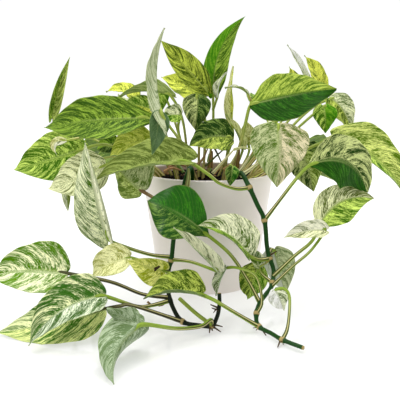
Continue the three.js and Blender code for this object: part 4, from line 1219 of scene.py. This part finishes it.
for number, (spray_name, row) in enumerate(SPRAYS.items()):
    parts = []
    for points, faces, values, _ in stem_parts(row, BACK_STEM_SEED + number, BACK_STEM_TONE):
        filler = np.zeros(len(points))
        parts.append((points, faces, {**values, "rib": filler, "margin": filler, "under": filler}, 1))
    for k, leaf_row in enumerate(row["leaves"]):
        leaf = {**SPRAY_LEAF, **dict(zip(SPRAY_FIELDS, leaf_row))}
        seed = SPRAY_SEED + 10 * number + k
        looks = SPRAY_LOOKS[(k + number) % len(SPRAY_LOOKS)]
        parts.append((*blade_data(leaf, looks, seed), 0))
        parts.append((*stalk_data(leaf, STALK_TONES["crown"], seed), 1))
    piece = make_piece(spray_name + "_leaves", parts, [LEAF_SKIN, STALK_SKIN])
    place_piece(piece, "leaf_green", spray_name)
    print(piece.name, "faces:", len(piece.data.polygons))

# %% [markdown]
# The pot is a body of revolution, thrown or slip-cast. A screw modifier could turn its outline, but a
# short function does the same and leaves a plain mesh: it carries a list of (radius, height) pairs
# around the axis. Edges are rounded by bits of circle in the outline.

# %% Turning an outline
POT_HEIGHT, RIM_RADIUS, FOOT_RADIUS = 124, 72.5, 56


def turned(profile, steps):
    """Points and faces of a profile of (radius, height) pairs turned about the axis."""
    points, faces = [], []
    for step in range(steps):
        turn = 2 * math.pi * step / steps
        points += [(r * math.cos(turn), r * math.sin(turn), z) for r, z in profile]
    for step in range(steps):
        here, there = step * len(profile), (step + 1) % steps * len(profile)
        for k in range(len(profile) - 1):
            if profile[k][0] == 0:
                faces.append((here, there + 1, here + 1))
            elif profile[k + 1][0] == 0:
                faces.append((here + k, there + k, here + k + 1))
            else:
                faces.append((here + k, there + k, there + k + 1, here + k + 1))
    return points, faces


def outer_radius(z):
    """The pot's outer radius at a height."""
    return FOOT_RADIUS + (RIM_RADIUS - FOOT_RADIUS) * z / POT_HEIGHT


def rounded(centre, radius, first, last, count):
    """Part of a circle in the profile's plane, angles in degrees."""
    angles = [math.radians(first + (last - first) * k / (count - 1)) for k in range(count)]
    return [(centre[0] + radius * math.cos(a), centre[1] + radius * math.sin(a)) for a in angles]


print("outer radius half way up:", outer_radius(POT_HEIGHT / 2), "mm")

# %% [markdown]
# The body is earthenware with a wall of 3 mm, under a plain white satin glaze: near white with a warm
# cast, roughness from 0.3 to 0.42, IOR 1.5. The melt leaves faint clouds some 55 mm wide and an
# orange-peel skin of about 1 mm. Damp soil has left a brownish tide mark on the inner wall. A second
# material could hold the stain, but it has no edge, so the one glaze finds the inner wall by its
# radius and fades the stain in.

# %% White satin glaze
WALL = 3
GLAZE_CLOUD, GLAZE_PEEL = 55, 1.1
GLAZE_IOR, GLAZE_SMOOTHEST, GLAZE_ROUGHEST = 1.5, 0.3, 0.42
PEEL_DEPTH, PEEL_BUMP = 0.2, 0.06
TIDE_MARK, TIDE_SHARE = "9A6E5C", 0.75
TIDE_TOP, TIDE_FULL = 124, 121


def glaze():
    """The pot's glaze, with the tide mark on its inner side."""
    coat = new_material("white_satin_glaze", "ECEAE6")
    place = add(coat, "ShaderNodeTexCoord", out="Object")
    broad = add(coat, "ShaderNodeTexNoise", {"Vector": place, "Scale": 1 / (GLAZE_CLOUD * MM),
                                             "Detail": 3.0})
    fine = add(coat, "ShaderNodeTexNoise", {"Vector": place, "Scale": 1 / (GLAZE_PEEL * MM),
                                            "Detail": 2.0})
    body = add(coat, "ShaderNodeValToRGB", {"Fac": broad},
               stops=[(0.3, "EAE0DA"), (0.55, "F1E8E2"), (0.75, "F5EDE8")])
    # The tide mark lies inside the wall's middle, whose radius grows with the height.
    height = add(coat, "ShaderNodeSeparateXYZ", {0: place}, out="Z")
    level = add(coat, "ShaderNodeVectorMath", {0: place, 1: (1, 1, 0)}, operation="MULTIPLY")
    radius = add(coat, "ShaderNodeVectorMath", {0: level}, operation="LENGTH")
    slope = (RIM_RADIUS - FOOT_RADIUS) / POT_HEIGHT
    middle = add(coat, "ShaderNodeMath", {0: height, 1: slope, 2: (FOOT_RADIUS - WALL / 2) * MM},
                 operation="MULTIPLY_ADD")
    inside = add(coat, "ShaderNodeMath", {0: radius, 1: middle}, operation="LESS_THAN")
    tide = add(coat, "ShaderNodeMapRange", {"Value": height, "From Min": TIDE_TOP * MM,
                                            "From Max": TIDE_FULL * MM, "To Min": 0.0,
                                            "To Max": TIDE_SHARE})
    stain = add(coat, "ShaderNodeMath", {0: inside, 1: tide}, operation="MULTIPLY")
    colour = add(coat, "ShaderNodeMix", {0: stain, 6: body, 7: linear(TIDE_MARK)}, data_type="RGBA")
    rough = add(coat, "ShaderNodeMapRange",
                {"Value": broad, "From Min": NOISE_LOW, "From Max": NOISE_HIGH,
                 "To Min": GLAZE_SMOOTHEST, "To Max": GLAZE_ROUGHEST})
    bump = add(coat, "ShaderNodeBump", {"Height": fine, "Strength": PEEL_BUMP,
                                        "Distance": PEEL_DEPTH * MM})
    shader = add(coat, "ShaderNodeBsdfPrincipled",
                 {"Base Color": colour, "Roughness": rough, "IOR": GLAZE_IOR, "Normal": bump})
    add(coat, "ShaderNodeOutputMaterial", {"Surface": shader})
    return coat


GLAZE = glaze()
print(GLAZE.name, "nodes:", len(GLAZE.node_tree.nodes))

# %% [markdown]
# The outline runs from the middle of the underside out over a rounded foot, up the straight wall,
# over the rim, down the inner wall and back to the middle of the inner floor. 160 steps around keep
# the rim smooth in the render.

# %% Pot
POT_STEPS = 160
POT_FLOOR = 4
UNDERSIDE_INSET = 8
FOOT_CURVE, FOOT_INSET = 1.8, 1.6
RIM_CURVE, RIM_INSET = 1.3, 1.35
profile = [(0, 0), (FOOT_RADIUS - UNDERSIDE_INSET, 0)]
profile += rounded((FOOT_RADIUS - FOOT_INSET, FOOT_CURVE), FOOT_CURVE, -90, 0, 6)
profile += [(outer_radius(z), z) for z in (10, 40, 80, 110)]
profile += rounded((RIM_RADIUS - RIM_INSET, POT_HEIGHT - RIM_CURVE), RIM_CURVE, -5, 185, 12)
profile += [(outer_radius(z) - WALL, z) for z in (110, 60, 12)]
profile += [(outer_radius(POT_FLOOR) - WALL, POT_FLOOR), (0, POT_FLOOR)]
pot_points, pot_faces = turned(profile, POT_STEPS)
pot = make_piece("pot_body", [(np.array(pot_points), pot_faces, {}, 0)], [GLAZE])
place_piece(pot, "pot", "pot")
print("pot across the rim and high:", [round(pot.dimensions[axis] / MM) for axis in (0, 2)], "mm")

# %% [markdown]
# Potting soil is dark peat in crumbs of one to four millimetres, matt and a little damp. The crumb
# noise is 2.4 mm wide and the damp and dry patches are 17 mm. Peat hardly shines, so its roughness is
# over 0.9 and its specular level low, or a grey veil would lie over the black.

# %% Damp peat
PEAT_CRUMB, PEAT_PATCH = 2.4, 17
CRUMB_SHARE = 0.6
CRUMB_DEPTH, CRUMB_BUMP = 1.2, 0.9
PEAT_ROUGHNESS, PEAT_IOR, PEAT_GLOSS = 0.92, 1.45, 0.1


def peat():
    """Dark peat with lighter dry crumbs."""
    soil = new_material("damp_peat_soil", "2A1D16")
    place = add(soil, "ShaderNodeTexCoord", out="Object")
    crumb = add(soil, "ShaderNodeTexNoise", {"Vector": place, "Scale": 1 / (PEAT_CRUMB * MM),
                                             "Detail": 5.0})
    broad = add(soil, "ShaderNodeTexNoise", {"Vector": place, "Scale": 1 / (PEAT_PATCH * MM),
                                             "Detail": 2.0})
    both = add(soil, "ShaderNodeMix", {0: CRUMB_SHARE, 2: broad, 3: crumb}, data_type="FLOAT")
    colour = add(soil, "ShaderNodeValToRGB", {"Fac": both},
                 stops=[(0.35, "060403"), (0.5, "120B07"), (0.62, "241810"), (0.72, "4A3626")])
    bump = add(soil, "ShaderNodeBump", {"Height": crumb, "Strength": CRUMB_BUMP,
                                        "Distance": CRUMB_DEPTH * MM})
    shader = add(soil, "ShaderNodeBsdfPrincipled",
                 {"Base Color": colour, "Roughness": PEAT_ROUGHNESS, "IOR": PEAT_IOR,
                  "Specular IOR Level": PEAT_GLOSS, "Normal": bump})
    add(soil, "ShaderNodeOutputMaterial", {"Surface": shader})
    return soil


PEAT = peat()
print(PEAT.name, "nodes:", len(PEAT.node_tree.nodes))

# %% [markdown]
# The soil's body fills the pot with a hair of room to the wall. Its top is a disc of rings whose
# points are lifted by two waves: low swells and small crumbs. Sculpting would look the same from here
# and couldn't be run again.

# %% Soil bed
SOIL_TOP = 116
SOIL_GAP = 0.4
SOIL_RINGS, SOIL_STEPS = 46, 180
SOIL_EDGE = outer_radius(SOIL_TOP) - WALL - SOIL_GAP
# Each wave has a height and two lengths; the crumbs' wave is bent by two more, to look less regular.
SWELL_HEIGHT, SWELL_X, SWELL_Y = 0.7, 11, 9
CRUMB_HEIGHT, CRUMB_X, CRUMB_Y = 0.55, 1.7, 1.9
BENT_X, BENT_Y, LENGTH_X, LENGTH_Y = 3, 2, 3.3, 2.9
EDGE_DROP, CALM_EDGE = 1.5, 3


def soil_height(x, y, draws):
    """Height of the soil's surface: low swells and small crumbs."""
    swell = np.sin(x / SWELL_X + draws[0]) * np.cos(y / SWELL_Y + draws[1])
    crumb = np.sin(x / CRUMB_X + BENT_X * np.sin(y / LENGTH_Y))
    crumb = crumb * np.cos(y / CRUMB_Y + BENT_Y * np.sin(x / LENGTH_X))
    return SWELL_HEIGHT * swell + CRUMB_HEIGHT * crumb


def edge_drop(radius):
    """How far the soil has sunk at a radius: hardly at all until close to the wall."""
    return EDGE_DROP * (radius / SOIL_EDGE) ** 6


def ring(radius, height):
    """Points of one ring; height is a function of x and y."""
    turns = [2 * math.pi * k / SOIL_STEPS for k in range(SOIL_STEPS)]
    places = [(radius * math.cos(turn), radius * math.sin(turn)) for turn in turns]
    return [(x, y, height(x, y)) for x, y in places]


def soil_bed(draws):
    """Points and faces of the bed: the uneven top, the side and the flat underside."""
    points = [(0, 0, SOIL_TOP)]
    for r in list(np.linspace(0, SOIL_EDGE - 1, SOIL_RINGS))[1:] + [SOIL_EDGE]:
        level = SOIL_TOP - edge_drop(r)
        rough = min(1, (SOIL_EDGE - r) / CALM_EDGE)
        points += ring(r, lambda x, y: level + rough * soil_height(x, y, draws))
    points += ring(outer_radius(POT_FLOOR) - WALL - SOIL_GAP, lambda x, y: POT_FLOOR + SOIL_GAP)
    steps = range(SOIL_STEPS)
    faces = [(0, 1 + k, 1 + (k + 1) % SOIL_STEPS) for k in steps]
    for a in range(1, len(points) - SOIL_STEPS, SOIL_STEPS):
        b = a + SOIL_STEPS
        faces += [(a + k, b + k, b + (k + 1) % SOIL_STEPS, a + (k + 1) % SOIL_STEPS) for k in steps]
    faces.append(tuple(len(points) - SOIL_STEPS + k for k in reversed(steps)))
    return np.array(points, float), faces


print("soil edge at a radius of", round(SOIL_EDGE, 1), "mm")

# %% [markdown]
# Loose crumbs and bark chips are lumps of a few faces each: a box whose corners are pushed in and out
# at random, then tilted and turned. A subdivided sphere would look softer, and these are broken bits.

# %% Lumps
LUMP_LEAST, LUMP_MOST, LUMP_TILT = 0.55, 1.05, 0.5


def lump(draw, size, flat):
    """A small irregular lump: an eight-cornered box with its corners moved."""
    points = []
    for corner in itertools.product((-1, 1), repeat=3):
        shift = [draw.uniform(LUMP_LEAST, LUMP_MOST) for _ in range(3)]
        points.append(np.array(corner) * shift * size * (1, *flat))
    tilt, turn = draw.uniform(-LUMP_TILT, LUMP_TILT), draw.uniform(0, 2 * math.pi)
    tilted_and_turned = np.array(Euler((tilt, 0, turn)).to_matrix())
    faces = [(0, 1, 3, 2), (4, 6, 7, 5), (0, 4, 5, 1), (2, 3, 7, 6), (0, 2, 6, 4), (1, 5, 7, 3)]
    return np.array(points) @ tilted_and_turned.T, faces


def scattered(draw, radius):
    """A random place in a circle, evenly spread."""
    r, turn = radius * math.sqrt(draw.random()), draw.uniform(0, 2 * math.pi)
    return r * math.cos(turn), r * math.sin(turn)


print("faces of a lump:", len(lump(random.Random(0), 1, (1, 1))[1]))

# %% [markdown]
# The soil is one piece: the bed and nine hundred crumbs that are sunk partly into it. A bump in the
# material could give crumbs too, but not the small dark gaps and shadows between real ones.

# %% Soil
CRUMBS = 900
CRUMB_SIZES = [0.7, 0.9, 1.1, 1.4, 1.8]
CRUMB_EDGE, CRUMB_LIFT = 3, 0.2
SOIL_SEED = 11

draw = random.Random(SOIL_SEED)
draws = [draw.uniform(0, 6) for _ in range(2)]
soil_parts = [(*soil_bed(draws), {}, 0)]
for _ in range(CRUMBS):
    x, y = scattered(draw, SOIL_EDGE - CRUMB_EDGE)
    size = draw.choice(CRUMB_SIZES)
    points, faces = lump(draw, size, (draw.uniform(0.7, 1), draw.uniform(0.6, 0.9)))
    z = SOIL_TOP + soil_height(x, y, draws) - edge_drop(math.hypot(x, y)) + CRUMB_LIFT * size
    soil_parts.append((points + np.array([x, y, z]), faces, {}, 0))
soil = make_piece("soil_crumbs", soil_parts, [PEAT])
shade_flat(soil)
place_piece(soil, "soil", "soil")
print("soil faces:", len(soil.data.polygons))

# %% [markdown]
# Chips of tan pine bark lie on the soil. Bark is rough and matt, with broken fibres about 1.4 mm
# apart that are drawn out to one side, and darker patches of about 9 mm. Two noises and a ramp of four
# browns give it, as they did for the peat.

# %% Dry pine bark
BARK_FIBRE, BARK_PATCH = 1.4, 9
FIBRE_SHARE, FIBRE_DRAWN_OUT = 0.4, 0.3
FIBRE_DEPTH, FIBRE_BUMP = 0.8, 0.7
BARK_ROUGHNESS, BARK_IOR, BARK_GLOSS = 0.85, 1.45, 0.2


def bark():
    """Tan bark with darker patches."""
    wood = new_material("dry_pine_bark", "8A6642")
    place = add(wood, "ShaderNodeTexCoord", out="Object")
    along = add(wood, "ShaderNodeVectorMath", {0: place, 1: (1.0, FIBRE_DRAWN_OUT, 1.0)},
                operation="MULTIPLY")
    fibre = add(wood, "ShaderNodeTexNoise", {"Vector": along, "Scale": 1 / (BARK_FIBRE * MM),
                                             "Detail": 4.0})
    broad = add(wood, "ShaderNodeTexNoise", {"Vector": place, "Scale": 1 / (BARK_PATCH * MM),
                                             "Detail": 1.0})
    both = add(wood, "ShaderNodeMix", {0: FIBRE_SHARE, 2: broad, 3: fibre}, data_type="FLOAT")
    colour = add(wood, "ShaderNodeValToRGB", {"Fac": both},
                 stops=[(0.35, "3A2618"), (0.5, "7A5638"), (0.65, "B48C5E"), (0.75, "D0B088")])
    bump = add(wood, "ShaderNodeBump", {"Height": fibre, "Strength": FIBRE_BUMP,
                                        "Distance": FIBRE_DEPTH * MM})
    shader = add(wood, "ShaderNodeBsdfPrincipled",
                 {"Base Color": colour, "Roughness": BARK_ROUGHNESS, "IOR": BARK_IOR,
                  "Specular IOR Level": BARK_GLOSS, "Normal": bump})
    add(wood, "ShaderNodeOutputMaterial", {"Surface": shader})
    return wood


BARK = bark()
print(BARK.name, "nodes:", len(BARK.node_tree.nodes))

# %% [markdown]
# Eight chips lie where the photo shows some, and the rest are spread at random. They are the same lumps
# as the crumbs, only flatter and three to seven millimetres long.

# %% Bark chips
BARK_PLACES = [(-44, -38), (-38, -46), (-32, -50), (-48, -28), (-30, -40), (-24, -52), (50, -30),
               (40, -44)]
BARK_BITS, BARK_SEED = 46, 23
BARK_EDGE, BARK_LIFT = 6, 0.9

draw = random.Random(BARK_SEED)
bark_places = list(BARK_PLACES)
while len(bark_places) < BARK_BITS:
    bark_places.append(scattered(draw, outer_radius(SOIL_TOP) - WALL - BARK_EDGE))
bark_parts = []
for x, y in bark_places:
    size = draw.uniform(1.8, 3.6)
    points, faces = lump(draw, size, (draw.uniform(0.4, 0.7), draw.uniform(0.2, 0.35)))
    bark_parts.append((points + np.array([x, y, SOIL_TOP + BARK_LIFT]), faces, {}, 0))
bark_chips = make_piece("bark_chips", bark_parts, [BARK])
shade_flat(bark_chips)
place_piece(bark_chips, "soil")
print("bark chips:", len(bark_places))

# %% [markdown]
# Old leaf stalks dry to papery channelled strips that stand and lean between the fresh ones, cream,
# tan, green or brown. Flat strips would do from one side, but vanish seen from the edge. So each is a
# short, deeply grooved rod along three points, with brown edges, in the same skin as the stalks. A row
# gives the three points, the width and the colour. The last one, nearly black, is painted shade: a
# dark strip that stands for the shade seen through a hole in the yellow leaf trail_left_8. Thirteen of
# the twenty touch nothing that is held, and hang 1 to 7 mm off it, which is a known fault.

# %% Dry sheaths
SHEATHS = [
    ((4, -62, 130), (13, -62, 140), (26, -58, 154), 5, "D6D69A"),
    ((25, -58, 153), (34, -58, 155), (42, -58, 153), 4, "C9D08A"),
    ((5, -60, 130), (10, -60, 135), (14, -60, 139), 6, "C09A5C"),
    ((2, -44, 133), (3, -44, 141), (4, -44, 150), 8, "A88848"),
    ((29, -54, 134), (30, -54, 144), (31, -54, 153), 6, "6E5A22"),
    ((31, -64, 128), (41, -62, 134), (52, -56, 142), 7, "DEDFA6"),
    ((45, -60, 127), (53, -58, 131), (60, -54, 135), 6, "C4C862"),
    ((29, -60, 129), (37, -58, 140), (42, -54, 147), 5, "D8D8A0"),
    ((38, -62, 125), (47, -60, 129), (56, -58, 132), 5, "B9B060"),
    ((-3, -48, 135), (11, -48, 148), (26, -48, 161), 3, "4E6A22"),
    ((6, -46, 154), (11, -46, 144), (17, -46, 131), 3, "4A6424"),
    ((15, -58, 133), (18, -58, 135), (21, -58, 138), 6, "C8A468"),
    ((20, -56, 134), (25, -54, 142), (29, -52, 150), 4, "B4B874"),
    ((-12, -48, 135), (-5, -46, 143), (0, -42, 153), 4, "A88A58"),
    ((-21, -92, 119), (-19, -88, 129), (-19, -84, 138), 7, "A9B26A"),
    ((-45, -46, 129), (-37, -46, 133), (-27, -42, 130), 5, "B98E5C"),
    ((-41, -36, 132), (-33, -36, 136), (-23, -34, 133), 5, "9A6E48"),
    ((-57, -114, 17), (-52, -113, 13), (-44, -112, 13), 3, "9A7A4A"),
    ((-47, -113, 13), (-42, -112, 14), (-38, -110, 19), 3, "7A5434"),
    # Painted shade: a nearly black strip for the shade seen through a hole in trail_left_8.
    ((-46, -109, 51), (-50, -109.5, 47), (-54, -109, 40), 5, "14100A"),
]
WIDTH_TO_RADIUS = 0.36
SHEATH_SIDES, SHEATH_GROOVE, SHEATH_STEPS = 16, 0.45, 8
SHEATH_EDGE, EDGE_SHARE, EDGE_WIDTH = "5A4228", 0.8, 0.3
SHEATH_THINS, SHEATH_STEP = 1.1, 9.0


def sheath_data(row, seed):
    """A dry channelled strip along three points, thinner at its end; its two edges are brown."""
    line = smooth_line(row[:3], SHEATH_STEPS)
    thin = (SHEATH_THINS - np.linspace(0, 1, len(line))) ** 0.5
    radius = WIDTH_TO_RADIUS * row[3] * thin
    points, faces, places, angles = rod_data(line, radius, SHEATH_SIDES, SHEATH_GROOVE, CHANNEL_SIDE)
    count = len(points)
    values = {
        "ground": np.tile(linear(row[4]), (count, 1)),
        "marble": np.tile(linear(SHEATH_EDGE), (count, 1)),
        "share": EDGE_SHARE * np.exp(-((np.abs(angles - math.pi / 2) - SEAM_ANGLE) / EDGE_WIDTH) ** 2),
        "grain": np.stack([places, angles * STALK_AROUND, np.full(count, SHEATH_STEP * seed)], 1),
    }
    return points, faces, values


sheath_parts = [(*sheath_data(row, number), 0) for number, row in enumerate(SHEATHS)]
sheaths = make_piece("dry_sheaths", sheath_parts, [STALK_SKIN])
place_piece(sheaths, "stem")
print("sheaths:", len(SHEATHS))

# %% [markdown]
# The plant stands on a glossy white board in a white room. The board is only the stage. Lacquered
# board has an IOR near 1.6 and is nearly smooth; its faint unevenness is about 25 mm wide. A little
# glow of its own keeps it as white as in the photo. One square of six metres is enough: seen from the
# front, none of its edges shows. It lies a hair below the pot's underside.

# %% Stage
BOARD_IOR, BOARD_SMOOTHEST, BOARD_ROUGHEST = 1.6, 0.03, 0.06
BOARD_UNEVENNESS = 25
BOARD_GLOW = 0.42
BOARD_HALF = 3.0
BOARD_LEVEL = -0.2


def white_board():
    """White lacquer that glows a little."""
    board = new_material("glossy_white_board", "FFFFFF")
    place = add(board, "ShaderNodeTexCoord", out="Object")
    uneven = add(board, "ShaderNodeTexNoise", {"Vector": place, "Scale": 1 / (BOARD_UNEVENNESS * MM),
                                               "Detail": 2.0})
    rough = add(board, "ShaderNodeMapRange", {"Value": uneven, "To Min": BOARD_SMOOTHEST,
                                              "To Max": BOARD_ROUGHEST})
    shader = add(board, "ShaderNodeBsdfPrincipled",
                 {"Base Color": linear("C0C0BF"), "Roughness": rough, "IOR": BOARD_IOR,
                  "Emission Color": linear("FFFFFF"), "Emission Strength": BOARD_GLOW})
    add(board, "ShaderNodeOutputMaterial", {"Surface": shader})
    return board


floor_mesh = bpy.data.meshes.new("white_floor")
around = ((-1, -1), (1, -1), (1, 1), (-1, 1))
corners = [(x * BOARD_HALF, y * BOARD_HALF, BOARD_LEVEL * MM) for x, y in around]
floor_mesh.from_pydata(corners, [], [(0, 1, 2, 3)])
floor_mesh.materials.append(white_board())
floor = bpy.data.objects.new("white_floor", floor_mesh)
bpy.context.scene.collection.objects.link(floor)
floor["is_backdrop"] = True
print("floor:", 2 * BOARD_HALF, "m wide")

# %% [markdown]
# The photo's light comes from all sides, as in a white tent. The room is that tent: a world that is
# brighter behind the plant than in front of it. A ring of lamps could do that too, with more noise.
# The front of the pot then falls into a soft grey between two bright sides.

# %% Light of the room
BACK_STRENGTH, FRONT_STRENGTH = 1.02, 0.6
FRONT_EDGE, BACK_EDGE = -0.5, 0.3

room = bpy.data.worlds.new("white_room")
room.use_nodes = True
background = room.node_tree.nodes["Background"]
toward = add(room, "ShaderNodeTexCoord", out="Generated")
depth = add(room, "ShaderNodeSeparateXYZ", {0: toward}, out="Y")
glow = add(room, "ShaderNodeMapRange", {"Value": depth, "From Min": FRONT_EDGE, "From Max": BACK_EDGE,
                                        "To Min": FRONT_STRENGTH, "To Max": BACK_STRENGTH},
           interpolation_type="SMOOTHSTEP")
background.inputs["Color"].default_value = linear("FFFFFF")
room.node_tree.links.new(glow, background.inputs["Strength"])
bpy.context.scene.world = room
print("room strength, front and back:", FRONT_STRENGTH, BACK_STRENGTH)

# %% [markdown]
# Three large soft lamps give the leaves their light and dark sides and a gentle shine: the strongest
# overhead, one at the upper left in front, and a weak one at the right. Small lamps would draw hard
# shadows on the board, which the photo doesn't have. The picture keeps the standard view of colours,
# without the soft contrast of a film, so white stays white.

# %% Lamps
# Name, place and aim in metres, width in metres, power in watts.
LAMPS = [
    ("overhead", (0, 0.3, 1.5), (0, 0, 0.1), 1.3, 15),
    ("key_left", (-0.9, -0.6, 1.0), (0, 0, 0.15), 0.6, 7),
    ("side_right", (1.1, 0.2, 0.8), (0.05, 0, 0.1), 0.6, 3),
]


def soft_lamp(name, place, aim, size, power):
    """A round area lamp at a place, turned towards another."""
    light = bpy.data.lights.new(name, "AREA")
    light.shape = "DISK"
    light.size = size
    light.energy = power
    lamp = bpy.data.objects.new(name, light)
    lamp.location = place
    direction = np.array(aim) - np.array(place)
    lamp.rotation_euler = Vector(direction).to_track_quat("-Z", "Y").to_euler()
    bpy.context.scene.collection.objects.link(lamp)


for lamp_row in LAMPS:
    soft_lamp(*lamp_row)
bpy.context.scene.view_settings.view_transform = "Standard"
bpy.context.scene.view_settings.look = "None"

# %% [markdown]
# The camera stands half a metre in front of the pot, 80 mm above its rim, and looks down by nearly
# twelve degrees. Place, tilt and lens could be tried by eye, but they were worked out so that the pot's
# rim and foot fall where the photo has them.

# %% Camera
CAMERA_PLACE = (-8.2, -550, 204.3)
LOOK_DOWN = 11.72
LENS, FILM = 45, 36
camera_data = bpy.data.cameras.new("camera")
camera_data.lens = LENS
camera_data.sensor_width = FILM
camera_data.clip_start = 0.01
camera = bpy.data.objects.new("camera", camera_data)
camera.location = [c * MM for c in CAMERA_PLACE]
camera.rotation_euler = (math.radians(90 - LOOK_DOWN), 0, 0)
bpy.context.scene.collection.objects.link(camera)
bpy.context.scene.camera = camera
print("camera height:", round(camera.location.z, 3), "m")

# %% [markdown]
# The dressed plant has to be as large as the plain one. Both sizes could be read off the screen; the
# cell prints them, in metres: the box around the plant before and after the dressing.

# %% Sizes
size_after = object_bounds()


def plain(value):
    """Vectors and tuples as plain lists of numbers."""
    return float(value) if isinstance(value, (int, float)) else [plain(v) for v in value]


{"before": plain(size_before), "after": plain(size_after)}
print("size before:", plain(size_before))
print("size after:", plain(size_after))
